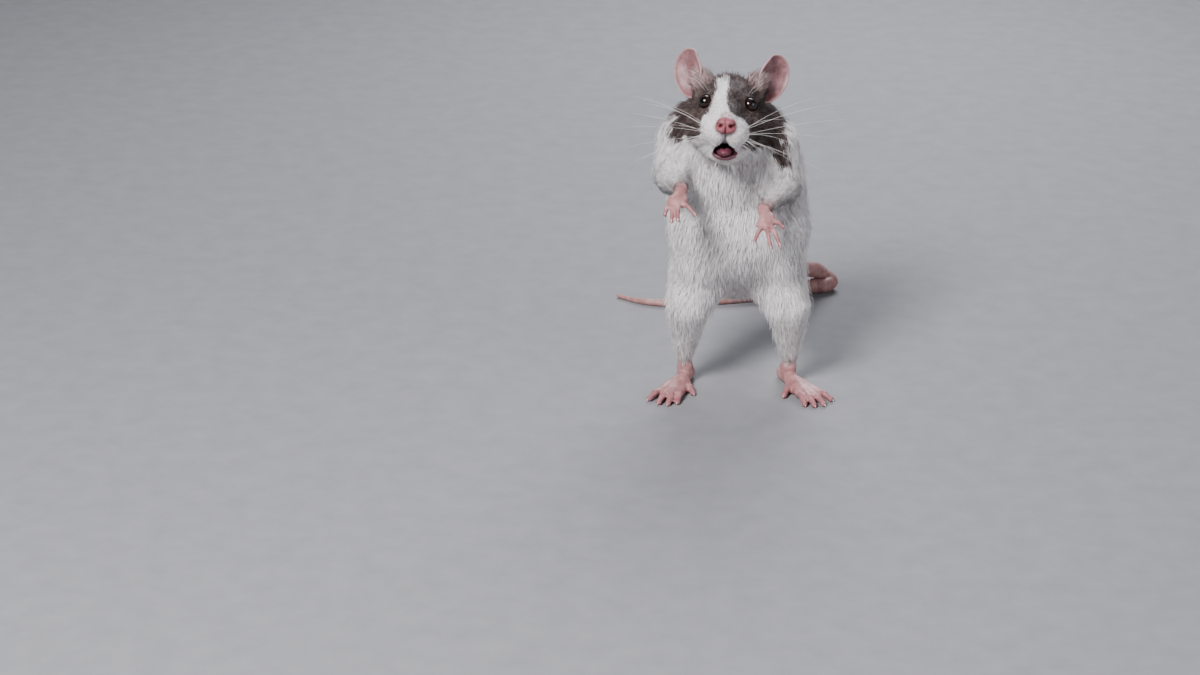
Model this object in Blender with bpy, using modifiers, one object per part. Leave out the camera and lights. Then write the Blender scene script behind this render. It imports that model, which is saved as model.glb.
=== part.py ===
"""A hooded rat reared up on its hind feet, forepaws held out, tail folded round behind it.

The animal faces -Y, its own left side is +X, and it stands on the floor plane Z 0.
Lengths are written in millimetres, and every frame below scales them to metres.
The finished rat is moved across the floor until the middle of its box is the origin.
"""

import math

import bmesh
import bpy
from mathutils import Matrix, Vector

MM = 0.001
GAP = 0.3
FLOOR = Matrix.Scale(MM, 4)

# The head: nose tip, the turns of the skull, and places in the head's own frame,
# where X is across, Y runs back from the nose and Z is up
NOSE_TIP = (-8.6, -26.0, 121.5)
NOSE_UP = 15.0
NOSE_ASIDE = 3.5
HEAD_TILT = 2.5
EYE_PLACE = (8.5, 24.6, 7.4)
EYE_RADIUS = 3.0
EYE_LOOK = (0.72, -0.62, 0.28)
LID_RADIUS = 3.1
LID_THICKNESS = 0.5
LID_AHEAD = (EYE_RADIUS ** 2 - (LID_RADIUS - LID_THICKNESS) ** 2) ** 0.5
NOSE_CUT = ((0.0, 2.5, 0.0), (0.0, -1.0, 0.15))
EAR_LENGTH = 20.3
EAR_WIDTH = 15.8
EAR_THICKNESS = 0.9
EAR_CUP = 3.4
EAR_BACK = 12.0
EAR_SPOKES = 18
EAR_RINGS = 4
EAR_NARROWING = 0.16 / 2.8
EAR_FLARE = 0.75
EARS = {
    "left": {"side": 1, "base": (13.8, 35.5, 8.2), "turn": 36.0, "spread": 19.0},
    "right": {"side": -1, "base": (15.0, 35.5, 8.2), "turn": 40.0, "spread": 9.0},
}
MOUTH_PLACE = (0.0, 8.6, -9.9)
MOUTH_SIZE = (4.3, 5.4, 2.7)
JAW_HINGE = (0.0, 30.0, -15.0)
TONGUE_PLACE = (0.0, 10.4, -10.9)
TONGUE_SIZE = (3.1, 5.3, 2.1)
NOSTRIL_PLACE = (2.2, 0.6, -0.2)
NOSTRIL_SIZE = (0.85, 1.7, 0.6)
NAPE_CUT = ((0.0, 40.0, 12.0), (0.0, 29.0, -14.0))

# Flesh of the trunk, neck and head: a ball is its centre and radii,
# a rod its start, radius there, end and radius there
TRUNK_BALLS = {
    "rump": ((0.0, 26.0, 52.5), (26.0, 22.0, 23.0)),
    "belly": ((-0.2, 17.5, 64.0), (30.2, 24.0, 25.0)),
    "back": ((-1.0, 26.0, 76.0), (29.6, 21.5, 26.0)),
    "breast": ((-2.6, 18.5, 89.0), (29.0, 21.5, 21.0)),
}
TRUNK_RODS = {
    "loins": ((0.0, 28.0, 54.0), 21.0, (-2.5, 27.0, 80.0), 20.0),
    "withers": ((-2.5, 27.0, 80.0), 20.0, (-6.0, 24.0, 102.0), 16.0),
    "tail root": ((0.0, 30.0, 46.0), 16.0, (1.0, 41.0, 32.0), 6.4),
}
NECK_BALLS = {
    "nape": ((-6.3, 18.5, 107.5), (24.0, 16.0, 14.0)),
}
NECK_RODS = {
    "throat": ((-6.0, 20.0, 104.0), 18.0, (-8.0, 11.0, 113.0), 14.5),
}
HEAD_BALLS = {
    "skull": ((0.0, 33.0, 5.4), (13.3, 12.5, 11.2)),
    "crown": ((0.0, 36.5, 8.2), (11.5, 9.5, 11.2)),
    "forehead": ((0.0, 28.5, 5.5), (9.2, 12.0, 9.5)),
    "muzzle": ((0.0, 14.0, -1.0), (7.6, 8.6, 7.0)),
    "nose": ((0.0, 3.2, 0.0), (4.4, 3.3, 3.7)),
    "chin": ((0.0, 11.3, -12.0), (6.2, 4.8, 3.4)),
    "gullet": ((0.0, 30.0, -8.0), (11.0, 10.0, 9.0)),
}
HEAD_RODS = {
    "bridge": ((0.0, 24.0, 4.3), 7.6, (0.0, 5.0, 0.2), 4.0),
    "jaw": ((0.0, 28.0, -9.5), 7.5, (0.0, 12.5, -11.6), 4.4),
}
# On both sides of the head
SIDE_BALLS = {
    "whisker pad": ((4.2, 9.2, -3.0), (4.8, 6.6, 5.2)),
    "brow": ((6.4, 26.4, 7.0), (3.8, 5.0, 4.8)),
}
SIDE_RODS = {
    "lip": ((3.8, 11.0, -2.6), 4.8, (5.0, 19.5, -2.2), 6.0),
    "cheek": ((5.6, 20.5, -2.0), 6.3, (7.8, 27.0, -2.2), 8.4),
    "jowl": ((7.8, 27.0, -2.2), 8.4, (8.5, 33.0, -3.5), 9.4),
    "ear mound": ((8.8, 34.0, 7.0), 6.4, (10.8, 37.2, 16.4), 3.3),
}

# The trunk: planes where it is parted
CHEST_TOP = ((-7.0, 20.0, 104.0), (0.0, -0.5, 0.87))
BELLY_TOP = ((-3.0, 20.0, 79.0), (0.0, 0.0, 1.0))

# Limb joints, for each side
ARMS = {
    "left": {
        "shoulder": (11.2, 13.4, 99.6),
        "elbow": (16.4, 5.8, 86.4),
        "wrist": (7.6, -15.0, 83.0),
        "palm": (8.4, -21.5, 80.8),
        "tips": ((3.4, -30.8, 76.4), (9.4, -34.0, 74.2), (13.0, -32.0, 74.8), (14.6, -24.5, 79.4)),
        "thumb": (4.6, -22.0, 79.2),
    },
    "right": {
        "shoulder": (-21.8, 12.8, 103.6),
        "elbow": (-27.8, 6.0, 90.0),
        "wrist": (-25.1, -14.5, 91.2),
        "palm": (-26.8, -21.5, 89.2),
        "tips": ((-20.2, -29.5, 86.4), (-26.8, -32.5, 85.2), (-29.4, -32.0, 84.6), (-31.8, -27.5, 85.6)),
        "thumb": (-23.4, -22.0, 87.6),
    },
}
SHOULDER_RADIUS = 12.8
ELBOW_RADIUS = 8.2
FOREARM_MIDDLE = 0.55
FOREARM_RADIUS = 4.6
WRIST_RADIUS = 3.1
WRIST_REACH = 0.6
WRIST_END = 2.8
PALM_SIZE = (4.2, 4.7, 2.3)
HEEL_OF_HAND = 2.2
KNUCKLE_REACH = 2.6
KNUCKLE_SPREAD = 1.75
KNUCKLE_PLACE = 0.55
KNUCKLE_RISE = 0.9
FINGER_ROOT = 1.6
FINGER_RADIUS = 0.95
FINGER_CLAW = 1.7
THUMB_RADII = (1.4, 1.0)
MIDDLE = 1.5
LONGEST_FINGER = 1.4
KNUCKLE_ARCH = 0.5
FINGER_TAPER = (1.25, 1.2, 1.1)
FINGER_CLAW_RADIUS = 0.475
CLAW_ROOT = 0.5
CLAW_DROP = 0.5

LEGS = {
    "left": {
        "hip": (12.0, 21.0, 48.0),
        "knee": (19.6, 1.8, 35.6),
        "ankle": (20.8, 5.0, 9.5),
        "heel": (17.9, 12.0),
        "toe_tips": ((17.8, -10.6), (25.6, -19.2), (29.4, -20.0), (33.3, -19.0), (36.6, -14.2)),
        "toe_roots": ((20.4, -3.2), (23.8, -10.2), (26.7, -11.8), (29.5, -11.6), (31.6, -8.8)),
    },
    "right": {
        "hip": (-13.0, 21.0, 48.0),
        "knee": (-21.1, 2.3, 35.6),
        "ankle": (-22.4, 6.0, 9.5),
        "heel": (-20.0, 13.4),
        "toe_tips": ((-19.2, -8.0), (-25.8, -17.0), (-29.6, -18.4), (-33.3, -17.2), (-37.0, -13.4)),
        "toe_roots": ((-21.4, -1.4), (-24.2, -8.6), (-27.0, -10.2), (-30.0, -10.2), (-32.4, -7.6)),
    },
}
HIP_RADIUS = 16.0
FLANK_PLACE = (3.5, -13.5, 4.5)
FLANK_RADIUS = 10.5
KNEE_RADIUS = 9.4
CALF_RADIUS = 6.8
CALF_BACK = (0.0, 0.8, 0.0)
ANKLE_RADIUS = 3.3
ANKLE_REACH = 4.0
ANKLE_OVERLAP = 2.0
HEEL_SIZE = (2.6, 3.9, 2.9)
HEEL_AHEAD = 2.0
HEEL_HEIGHT = 2.5
TENDON_TOP = 2.5
TENDON_END = 2.2
SOLE_RADII = (3.2, 3.0)
SOLE_REACH = (3.0, 14.0)
SOLE_HEIGHT = 3.0
INSTEP_RADIUS = 3.4
INSTEP_REACH = 7.0
INSTEP_HEIGHT = 4.2
TOES_FROM = 11.0
TOE_ROOT = 2.7
TOE_ROOT_HEIGHT = 2.5
TOE_ROOT_DROP = 0.35
TOE_TAPER = (1.45, 1.3, 1.1, 0.95)
TOE_TIP_HEIGHT = 1.1
TOE_ARCH = 0.9
PAD_REACH = 17.5
PAD_HEIGHT = 1.5
PAD_SIZE = (4.6, 4.6, 2.1)
TOE_RADIUS = 1.35
TOE_CLAW = 2.0
TOE_CLAW_DROP = 0.55
TOE_CLAW_ROOT = 0.3
TOE_CLAW_RADIUS = 0.567

# The tail: the way its middle runs, with the radius there
TAIL_COURSE = (
    ((1.0, 42.0, 31.0), 4.7),
    ((4.0, 52.0, 28.5), 4.5),
    ((9.5, 63.0, 25.0), 4.3),
    ((17.0, 75.0, 20.6), 4.0),
    ((25.0, 87.0, 16.8), 3.8),
    ((32.0, 97.4, 14.6), 3.7),
    ((38.4, 106.2, 10.9), 3.55),
    ((41.8, 112.0, 6.8), 3.4),
    ((46.0, 110.6, 3.9), 3.25),
    ((43.0, 107.2, 3.2), 3.3),
    ((37.2, 106.2, 3.3), 3.4),
    ((20.0, 99.0, 3.0), 3.0),
    ((0.0, 93.5, 2.3), 2.4),
    ((-20.0, 89.5, 1.8), 1.9),
    ((-37.0, 92.0, 1.3), 1.4),
    ((-49.0, 100.0, 0.9), 0.9),
)
TAIL_CUTS = (0, 3, 6, 11, 15)
TAIL_STEPS = 5

# How each soft form is drawn: width of its net, rounds of smoothing, triangles
DRAWN = {
    "trunk": (1.0, 30, 2200),
    "head": (0.5, 10, 3000),
    "arm": (0.8, 5, 480),
    "leg": (0.9, 6, 500),
    "paw": (0.3, 3, 380),
    "foot": (0.35, 3, 480),
}

COLOURS = {
    "hood_fur": ((0.16, 0.12, 0.10), 0.85),
    "white_fur": ((0.80, 0.76, 0.72), 0.85),
    "ear_skin": ((0.70, 0.42, 0.38), 0.60),
    "nose_skin": ((0.76, 0.36, 0.36), 0.45),
    "paw_skin": ((0.78, 0.50, 0.46), 0.60),
    "tail_skin": ((0.68, 0.45, 0.40), 0.65),
    "tongue_skin": ((0.62, 0.22, 0.22), 0.35),
    "eye": ((0.010, 0.007, 0.006), 0.08),
}


def empty_scene():
    for item in list(bpy.data.objects):
        bpy.data.objects.remove(item)


def collection_named(name):
    group = bpy.data.collections.new(name)
    bpy.context.scene.collection.children.link(group)
    return group


def material_named(name):
    material = bpy.data.materials.get(name)
    if material is None:
        colour, roughness = COLOURS[name]
        material = bpy.data.materials.new(name)
        material.use_nodes = True
        shader = material.node_tree.nodes["Principled BSDF"]
        shader.inputs["Base Color"].default_value = (*colour, 1.0)
        shader.inputs["Roughness"].default_value = roughness
        shader.inputs["Metallic"].default_value = 0.0
    return material


# Meshes are worked on through short-lived objects in the bench collection


def on_bench(mesh, name="work"):
    item = bpy.data.objects.new(name, mesh)
    bench.objects.link(item)
    return item


def finished(item):
    """The object's mesh with its modifiers worked in; the object goes"""
    depsgraph = bpy.context.evaluated_depsgraph_get()
    mesh = bpy.data.meshes.new_from_object(item.evaluated_get(depsgraph), depsgraph=depsgraph)
    bpy.data.objects.remove(item)
    return mesh


def mesh_from(shape, name="work"):
    mesh = bpy.data.meshes.new(name)
    shape.to_mesh(mesh)
    shape.free()
    return mesh


def shape_from(mesh):
    shape = bmesh.new()
    shape.from_mesh(mesh)
    return shape


def largest_shell(mesh):
    """The mesh without anything but its biggest connected surface, in triangles"""
    shape = shape_from(mesh)
    bmesh.ops.remove_doubles(shape, verts=shape.verts[:], dist=0.002 * MM)
    unseen = set(shape.verts)
    shells = []
    while unseen:
        front = [unseen.pop()]
        shell = list(front)
        while front:
            vert = front.pop()
            for edge in vert.link_edges:
                other = edge.other_vert(vert)
                if other in unseen:
                    unseen.remove(other)
                    front.append(other)
                    shell.append(other)
        shells.append(shell)
    shells.sort(key=len)
    for shell in shells[:-1]:
        bmesh.ops.delete(shape, geom=shell, context="VERTS")
    bmesh.ops.triangulate(shape, faces=shape.faces[:])
    return mesh_from(shape)


def joined(mesh, others, operation, solver="EXACT"):
    """One Boolean of the mesh with each of the others in turn"""
    body = on_bench(mesh)
    tools = []
    for other in others:
        tool = on_bench(other)
        tools.append(tool)
        boolean = body.modifiers.new(operation.lower(), "BOOLEAN")
        boolean.operation = operation
        boolean.solver = solver
        boolean.object = tool
    result = finished(body)
    for tool in tools:
        bpy.data.objects.remove(tool)
    return largest_shell(result)


def grown(mesh, distance):
    """A copy of the mesh pushed out along its own normals"""
    shape = shape_from(mesh)
    shape.normal_update()
    for vert in shape.verts:
        vert.co += vert.normal * distance * MM
    return mesh_from(shape)


def in_front_of(mesh, point, normal, clear=GAP / 2):
    """The part of the mesh in front of a plane, a little clear of it, with a flat cap"""
    shape = shape_from(mesh)
    normal = Vector(normal).normalized()
    bmesh.ops.bisect_plane(
        shape,
        geom=shape.verts[:] + shape.edges[:] + shape.faces[:],
        dist=0.001 * MM,
        plane_co=(Vector(point) + normal * clear) * MM,
        plane_no=normal,
        clear_inner=True,
    )
    rim = [edge for edge in shape.edges if edge.is_boundary]
    bmesh.ops.holes_fill(shape, edges=rim, sides=0)
    return largest_shell(mesh_from(shape))


def behind(mesh, point, normal, clear=GAP / 2):
    return in_front_of(mesh, point, -Vector(normal), clear)


# Flesh is built up from balls and tapered rods, then drawn into one smooth skin


def ball(flesh, frame, centre, radii, turn=None):
    matrix = frame @ Matrix.Translation(centre)
    if turn is not None:
        matrix = matrix @ turn.to_4x4()
    matrix = matrix @ Matrix.Diagonal((*radii, 1.0))
    bmesh.ops.create_icosphere(flesh, subdivisions=3, radius=1.0, matrix=matrix)


def rod(flesh, frame, start, start_radius, end, end_radius):
    start = Vector(start)
    end = Vector(end)
    turn = (end - start).to_track_quat("Z", "Y").to_matrix().to_4x4()
    bmesh.ops.create_cone(
        flesh,
        cap_ends=True,
        cap_tris=True,
        segments=24,
        radius1=start_radius,
        radius2=end_radius,
        depth=(end - start).length,
        matrix=frame @ Matrix.Translation((start + end) / 2) @ turn,
    )
    ball(flesh, frame, start, (start_radius,) * 3)
    ball(flesh, frame, end, (end_radius,) * 3)


def skin_over(flesh, form):
    """The flesh fused, smoothed and thinned, as the form is drawn"""
    voxel, rounds, triangles = DRAWN[form]
    item = on_bench(mesh_from(flesh))
    fuse = item.modifiers.new("fuse", "REMESH")
    fuse.mode = "VOXEL"
    fuse.voxel_size = voxel * MM
    soften = item.modifiers.new("soften", "SMOOTH")
    soften.factor = 0.5
    soften.iterations = rounds
    item = on_bench(finished(item))
    thin = item.modifiers.new("thin", "DECIMATE")
    thin.ratio = triangles / (2 * len(item.data.polygons))
    return largest_shell(finished(item))


def mirrored(point, side):
    return (point[0] * side, point[1], point[2])


def between(start, end, share):
    return Vector(start).lerp(Vector(end), share)


def head_frame():
    """From millimetres in the head's own frame to metres in the world"""
    place = Matrix.Translation(Vector(NOSE_TIP) * MM)
    aside = Matrix.Rotation(math.radians(-NOSE_ASIDE), 4, "Z")
    up = Matrix.Rotation(math.radians(-NOSE_UP), 4, "X")
    tilt = Matrix.Rotation(math.radians(HEAD_TILT), 4, "Y")
    return place @ aside @ up @ tilt @ FLOOR


HEAD = head_frame()


def in_world(frame, point):
    """A point given in a frame, in world millimetres"""
    return (frame @ Vector(point)) / MM


def plane_through(frame, first, second):
    """A point and normal of the plane that holds the frame's X axis and two points"""
    first = in_world(frame, first)
    second = in_world(frame, second)
    across = (frame.to_3x3() @ Vector((1.0, 0.0, 0.0))).normalized()
    return first, across.cross(second - first).normalized()


def add_forms(flesh, frame, balls, rods, side=1):
    """Adds named balls and rods, on the given side of the frame's middle"""
    for centre, radii in balls.values():
        ball(flesh, frame, mirrored(centre, side), radii)
    for start, start_radius, end, end_radius in rods.values():
        rod(flesh, frame, mirrored(start, side), start_radius, mirrored(end, side), end_radius)


def add_trunk(flesh):
    add_forms(flesh, FLOOR, TRUNK_BALLS, TRUNK_RODS)


def add_neck(flesh):
    add_forms(flesh, FLOOR, NECK_BALLS, NECK_RODS)


def add_head(flesh):
    add_forms(flesh, HEAD, HEAD_BALLS, HEAD_RODS)
    for side in (-1, 1):
        add_forms(flesh, HEAD, SIDE_BALLS, SIDE_RODS, side)


def ring(frame, centre, facing, radius, thickness, around=20, through=6):
    """A torus about an axis, for the rim of an eyelid"""
    turn = Vector(facing).to_track_quat("Z", "Y").to_matrix().to_4x4()
    matrix = frame @ Matrix.Translation(centre) @ turn
    shape = bmesh.new()
    loops = []
    for i in range(around):
        angle = 2 * math.pi * i / around
        loop = []
        for j in range(through):
            roll = 2 * math.pi * j / through
            reach = radius + thickness * math.cos(roll)
            point = Vector((reach * math.cos(angle), reach * math.sin(angle), thickness * math.sin(roll)))
            loop.append(shape.verts.new(matrix @ point))
        loops.append(loop)
    for i in range(around):
        for j in range(through):
            here = loops[i]
            there = loops[(i + 1) % around]
            k = (j + 1) % through
            shape.faces.new((here[j], there[j], there[k], here[k]))
    return mesh_from(shape)


def lump(frame, centre, radii, subdivisions=2, turn=None):
    shape = bmesh.new()
    matrix = frame @ Matrix.Translation(centre)
    if turn is not None:
        matrix = matrix @ turn.to_4x4()
    matrix = matrix @ Matrix.Diagonal((*radii, 1.0))
    bmesh.ops.create_icosphere(shape, subdivisions=subdivisions, radius=1.0, matrix=matrix)
    return mesh_from(shape)


def build_head_parts(parts):
    flesh = bmesh.new()
    add_head(flesh)
    add_neck(flesh)
    whole = skin_over(flesh, "head")
    nape_point, nape_normal = plane_through(HEAD, *NAPE_CUT)
    if nape_normal.y > 0:
        nape_normal = -nape_normal
    skull = in_front_of(whole, nape_point, nape_normal)

    holes = [lump(HEAD, MOUTH_PLACE, MOUTH_SIZE)]
    rims = []
    for side in (-1, 1):
        eye = mirrored(EYE_PLACE, side)
        look = mirrored(EYE_LOOK, side)
        lid_centre = Vector(eye) + Vector(look).normalized() * LID_AHEAD
        rims.append(ring(HEAD, lid_centre, look, LID_RADIUS, LID_THICKNESS))
        holes.append(lump(HEAD, eye, (EYE_RADIUS + GAP,) * 3))
        holes.append(lump(HEAD, mirrored(NOSTRIL_PLACE, side), NOSTRIL_SIZE, 1))
        parts["eye_left" if side > 0 else "eye_right"] = (eyeball(eye, look), "eye")
    skull = joined(skull, rims, "UNION")
    skull = joined(skull, holes, "DIFFERENCE")

    mouth_point, mouth_normal = plane_through(HEAD, MOUTH_PLACE, JAW_HINGE)
    if mouth_normal.z < 0:
        mouth_normal = -mouth_normal
    upper = in_front_of(skull, mouth_point, mouth_normal)
    jaw = behind(skull, mouth_point, mouth_normal)
    tongue = lump(HEAD, TONGUE_PLACE, TONGUE_SIZE)
    tongue_room = [radius + GAP for radius in TONGUE_SIZE]
    jaw = joined(jaw, [lump(HEAD, TONGUE_PLACE, tongue_room)], "DIFFERENCE")
    upper = joined(upper, [lump(HEAD, TONGUE_PLACE, tongue_room)], "DIFFERENCE")
    nose_point = in_world(HEAD, NOSE_CUT[0])
    nose_normal = HEAD.to_3x3() @ Vector(NOSE_CUT[1])
    parts["nose"] = (in_front_of(upper, nose_point, nose_normal), "nose_skin")
    parts["head"] = (behind(upper, nose_point, nose_normal), "hood_fur")
    parts["jaw"] = (jaw, "white_fur")
    parts["tongue"] = (tongue, "tongue_skin")
    return whole


def eyeball(centre, look):
    """A globe whose pole faces the way the eye looks"""
    turn = Vector(look).to_track_quat("Z", "Y").to_matrix().to_4x4()
    matrix = HEAD @ Matrix.Translation(centre) @ turn
    shape = bmesh.new()
    bmesh.ops.create_uvsphere(shape, u_segments=16, v_segments=8, radius=EYE_RADIUS, matrix=matrix)
    bmesh.ops.triangulate(shape, faces=shape.faces[:])
    return mesh_from(shape)


def ear(ear_pose):
    """A cupped leaf of skin: rings from its middle out to an egg-shaped rim"""
    side = ear_pose["side"]
    lean = Matrix.Rotation(math.radians(-EAR_BACK), 4, "X")
    spread = Matrix.Rotation(math.radians(ear_pose["spread"] * side), 4, "Y")
    turn = Matrix.Rotation(math.radians(ear_pose["turn"] * side), 4, "Z")
    frame = HEAD @ Matrix.Translation(mirrored(ear_pose["base"], side)) @ spread @ lean @ turn
    shape = bmesh.new()

    def leaf(across, up):
        """A place on the leaf, from -1 to 1 across and up"""
        width = EAR_WIDTH / 2 * (1.0 - EAR_NARROWING * (1.0 - up) ** 1.5)
        cup = EAR_CUP * (1.0 - across ** 2 - EAR_FLARE * up ** 2)
        height = EAR_LENGTH * (0.5 + 0.5 * up)
        return frame @ Vector((across * width, cup, height))

    middle = shape.verts.new(leaf(0.0, 0.0))
    loops = []
    for i in range(1, EAR_RINGS + 1):
        reach = i / EAR_RINGS
        loop = []
        for j in range(EAR_SPOKES):
            angle = 2 * math.pi * j / EAR_SPOKES
            loop.append(shape.verts.new(leaf(reach * math.cos(angle), reach * math.sin(angle))))
        loops.append(loop)
    for j in range(EAR_SPOKES):
        k = (j + 1) % EAR_SPOKES
        shape.faces.new((middle, loops[0][j], loops[0][k]))
        for inner, outer in zip(loops, loops[1:]):
            shape.faces.new((inner[j], outer[j], outer[k], inner[k]))
    bmesh.ops.triangulate(shape, faces=shape.faces[:])
    item = on_bench(mesh_from(shape))
    thicken = item.modifiers.new("thicken", "SOLIDIFY")
    thicken.thickness = EAR_THICKNESS * MM
    thicken.offset = 0.0
    mesh = finished(item)
    shape = shape_from(mesh)
    bmesh.ops.recalc_face_normals(shape, faces=shape.faces[:])
    return mesh_from(shape)


def claw(start, point, radius):
    """A cone from inside a fingertip out to the claw's point"""
    start = Vector(start)
    point = Vector(point)
    turn = (point - start).to_track_quat("Z", "Y").to_matrix().to_4x4()
    shape = bmesh.new()
    bmesh.ops.create_cone(
        shape,
        cap_ends=True,
        cap_tris=True,
        segments=6,
        radius1=radius,
        radius2=radius * 0.2,
        depth=(point - start).length,
        matrix=FLOOR @ Matrix.Translation((start + point) / 2) @ turn,
    )
    return mesh_from(shape)


def build_arm(side, torso, parts):
    places = ARMS[side]
    shoulder = Vector(places["shoulder"])
    elbow = Vector(places["elbow"])
    wrist = Vector(places["wrist"])
    flesh = bmesh.new()
    rod(flesh, FLOOR, shoulder, SHOULDER_RADIUS, elbow, ELBOW_RADIUS)
    middle = between(elbow, wrist, FOREARM_MIDDLE)
    rod(flesh, FLOOR, elbow, ELBOW_RADIUS, middle, FOREARM_RADIUS)
    rod(flesh, FLOOR, middle, FOREARM_RADIUS, wrist, WRIST_RADIUS)
    rod(flesh, FLOOR, wrist, WRIST_RADIUS, between(wrist, places["palm"], WRIST_REACH), WRIST_END)
    whole = skin_over(flesh, "arm")
    whole = joined(whole, torso, "DIFFERENCE")
    bend = (elbow - shoulder).normalized() + (wrist - elbow).normalized()
    reach = wrist - elbow
    upper = behind(whole, elbow, bend)
    lower = in_front_of(whole, elbow, bend)
    lower = behind(lower, wrist, reach)
    parts["upper_arm_" + side] = (upper, "white_fur")
    parts["forearm_" + side] = (lower, "white_fur")
    parts["paw_" + side] = (build_paw(places, wrist, reach), "paw_skin")


def build_paw(places, wrist, reach):
    palm = Vector(places["palm"])
    ahead = (palm - wrist).normalized()
    tips = [Vector(tip) for tip in places["tips"]]
    across = (tips[3] - tips[0]).normalized()
    up = across.cross(ahead).normalized()
    if up.z < 0:
        up = -up
    turn = Matrix((across, -ahead, up)).transposed()
    flesh = bmesh.new()
    rod(flesh, FLOOR, wrist - ahead, WRIST_END, palm, HEEL_OF_HAND)
    ball(flesh, FLOOR, palm, PALM_SIZE, turn)
    claws = []
    for i, tip in enumerate(tips):
        root = palm + across * (i - MIDDLE) * KNUCKLE_SPREAD
        root += ahead * (KNUCKLE_REACH - KNUCKLE_ARCH * abs(i - LONGEST_FINGER))
        knuckle = between(root, tip, KNUCKLE_PLACE) + up * KNUCKLE_RISE
        thick = [FINGER_RADIUS * share for share in FINGER_TAPER]
        rod(flesh, FLOOR, palm, FINGER_ROOT, root, thick[0])
        rod(flesh, FLOOR, root, thick[1], knuckle, thick[2])
        rod(flesh, FLOOR, knuckle, thick[2], tip, FINGER_RADIUS)
        along = (tip - knuckle).normalized()
        point = tip + along * FINGER_CLAW - up * CLAW_DROP
        claws.append(claw(tip - along * CLAW_ROOT, point, FINGER_CLAW_RADIUS))
    rod(flesh, FLOOR, palm, THUMB_RADII[0], places["thumb"], THUMB_RADII[1])
    whole = skin_over(flesh, "paw")
    whole = joined(whole, claws, "UNION")
    return in_front_of(whole, wrist, reach)


def build_leg(side, torso, parts):
    places = LEGS[side]
    hip = Vector(places["hip"])
    knee = Vector(places["knee"])
    ankle = Vector(places["ankle"])
    calf = between(knee, ankle, 0.5) + Vector(CALF_BACK)
    flank = hip + Vector(mirrored(FLANK_PLACE, math.copysign(1.0, hip.x)))
    below = ankle - Vector((0.0, 0.0, ANKLE_REACH))
    flesh = bmesh.new()
    ball(flesh, FLOOR, flank, (FLANK_RADIUS,) * 3)
    rod(flesh, FLOOR, hip, HIP_RADIUS, knee, KNEE_RADIUS)
    rod(flesh, FLOOR, knee, KNEE_RADIUS, calf, CALF_RADIUS)
    rod(flesh, FLOOR, calf, CALF_RADIUS, ankle, ANKLE_RADIUS)
    rod(flesh, FLOOR, ankle, ANKLE_RADIUS, below, ANKLE_RADIUS)
    whole = skin_over(flesh, "leg")
    whole = joined(whole, torso, "DIFFERENCE")
    bend = (knee - hip).normalized() + (ankle - knee).normalized()
    drop = (ankle - knee).normalized()
    thigh = behind(whole, knee, bend)
    shank = behind(in_front_of(whole, knee, bend), ankle, drop)
    parts["thigh_" + side] = (thigh, "white_fur")
    parts["shank_" + side] = (shank, "white_fur")
    parts["foot_" + side] = (build_foot(places, ankle, drop), "paw_skin")


def build_foot(places, ankle, drop):
    heel = Vector((*places["heel"], 0.0))
    roots = [Vector((*root, 0.0)) for root in places["toe_roots"]]
    tips = [Vector((*tip, 0.0)) for tip in places["toe_tips"]]
    ahead = (roots[2] - heel).normalized()
    facing = Matrix.Rotation(math.atan2(ahead.x, -ahead.y), 3, "Z")
    up = Vector((0.0, 0.0, 1.0))
    sole_start = heel + ahead * SOLE_REACH[0] + up * SOLE_HEIGHT
    sole_end = heel + ahead * SOLE_REACH[1] + up * SOLE_HEIGHT
    instep = heel + ahead * INSTEP_REACH + up * INSTEP_HEIGHT
    toes_from = heel + ahead * TOES_FROM + up * SOLE_HEIGHT
    flesh = bmesh.new()
    heel_bone = heel + ahead * HEEL_AHEAD + up * HEEL_HEIGHT
    ball(flesh, FLOOR, heel_bone, HEEL_SIZE, facing)
    rod(flesh, FLOOR, ankle - drop * ANKLE_OVERLAP, TENDON_TOP, heel_bone, TENDON_END)
    rod(flesh, FLOOR, ankle - drop * ANKLE_OVERLAP, ANKLE_RADIUS, instep, INSTEP_RADIUS)
    rod(flesh, FLOOR, sole_start, SOLE_RADII[0], sole_end, SOLE_RADII[1])
    ball(flesh, FLOOR, heel + ahead * PAD_REACH + up * PAD_HEIGHT, PAD_SIZE, facing)
    claws = []
    for i, (root, tip) in enumerate(zip(roots, tips)):
        root = root + up * (TOE_ROOT_HEIGHT - TOE_ROOT_DROP * abs(i - 2))
        tip = tip + up * TOE_TIP_HEIGHT
        knuckle = between(root, tip, 0.5) + up * TOE_ARCH
        thick = [TOE_RADIUS * share for share in TOE_TAPER]
        rod(flesh, FLOOR, toes_from, TOE_ROOT, root, thick[0])
        rod(flesh, FLOOR, root, thick[1], knuckle, thick[2])
        rod(flesh, FLOOR, knuckle, thick[2], tip, thick[3])
        along = (tip - root).normalized()
        along.z = 0.0
        point = tip + along * TOE_CLAW - up * TOE_CLAW_DROP
        claws.append(claw(tip - along * TOE_CLAW_ROOT, point, TOE_CLAW_RADIUS))
    whole = skin_over(flesh, "foot")
    whole = joined(whole, claws, "UNION")
    whole = in_front_of(whole, ankle, drop)
    return in_front_of(whole, (0.0, 0.0, 0.0), up, 0.0)


def catmull_rom(a, b, c, d, share):
    """A point between b and c on a smooth curve through four points"""
    return 0.5 * (
        2 * b
        + (c - a) * share
        + (2 * a - 5 * b + 4 * c - d) * share ** 2
        + (3 * b - a - 3 * c + d) * share ** 3
    )


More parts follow.
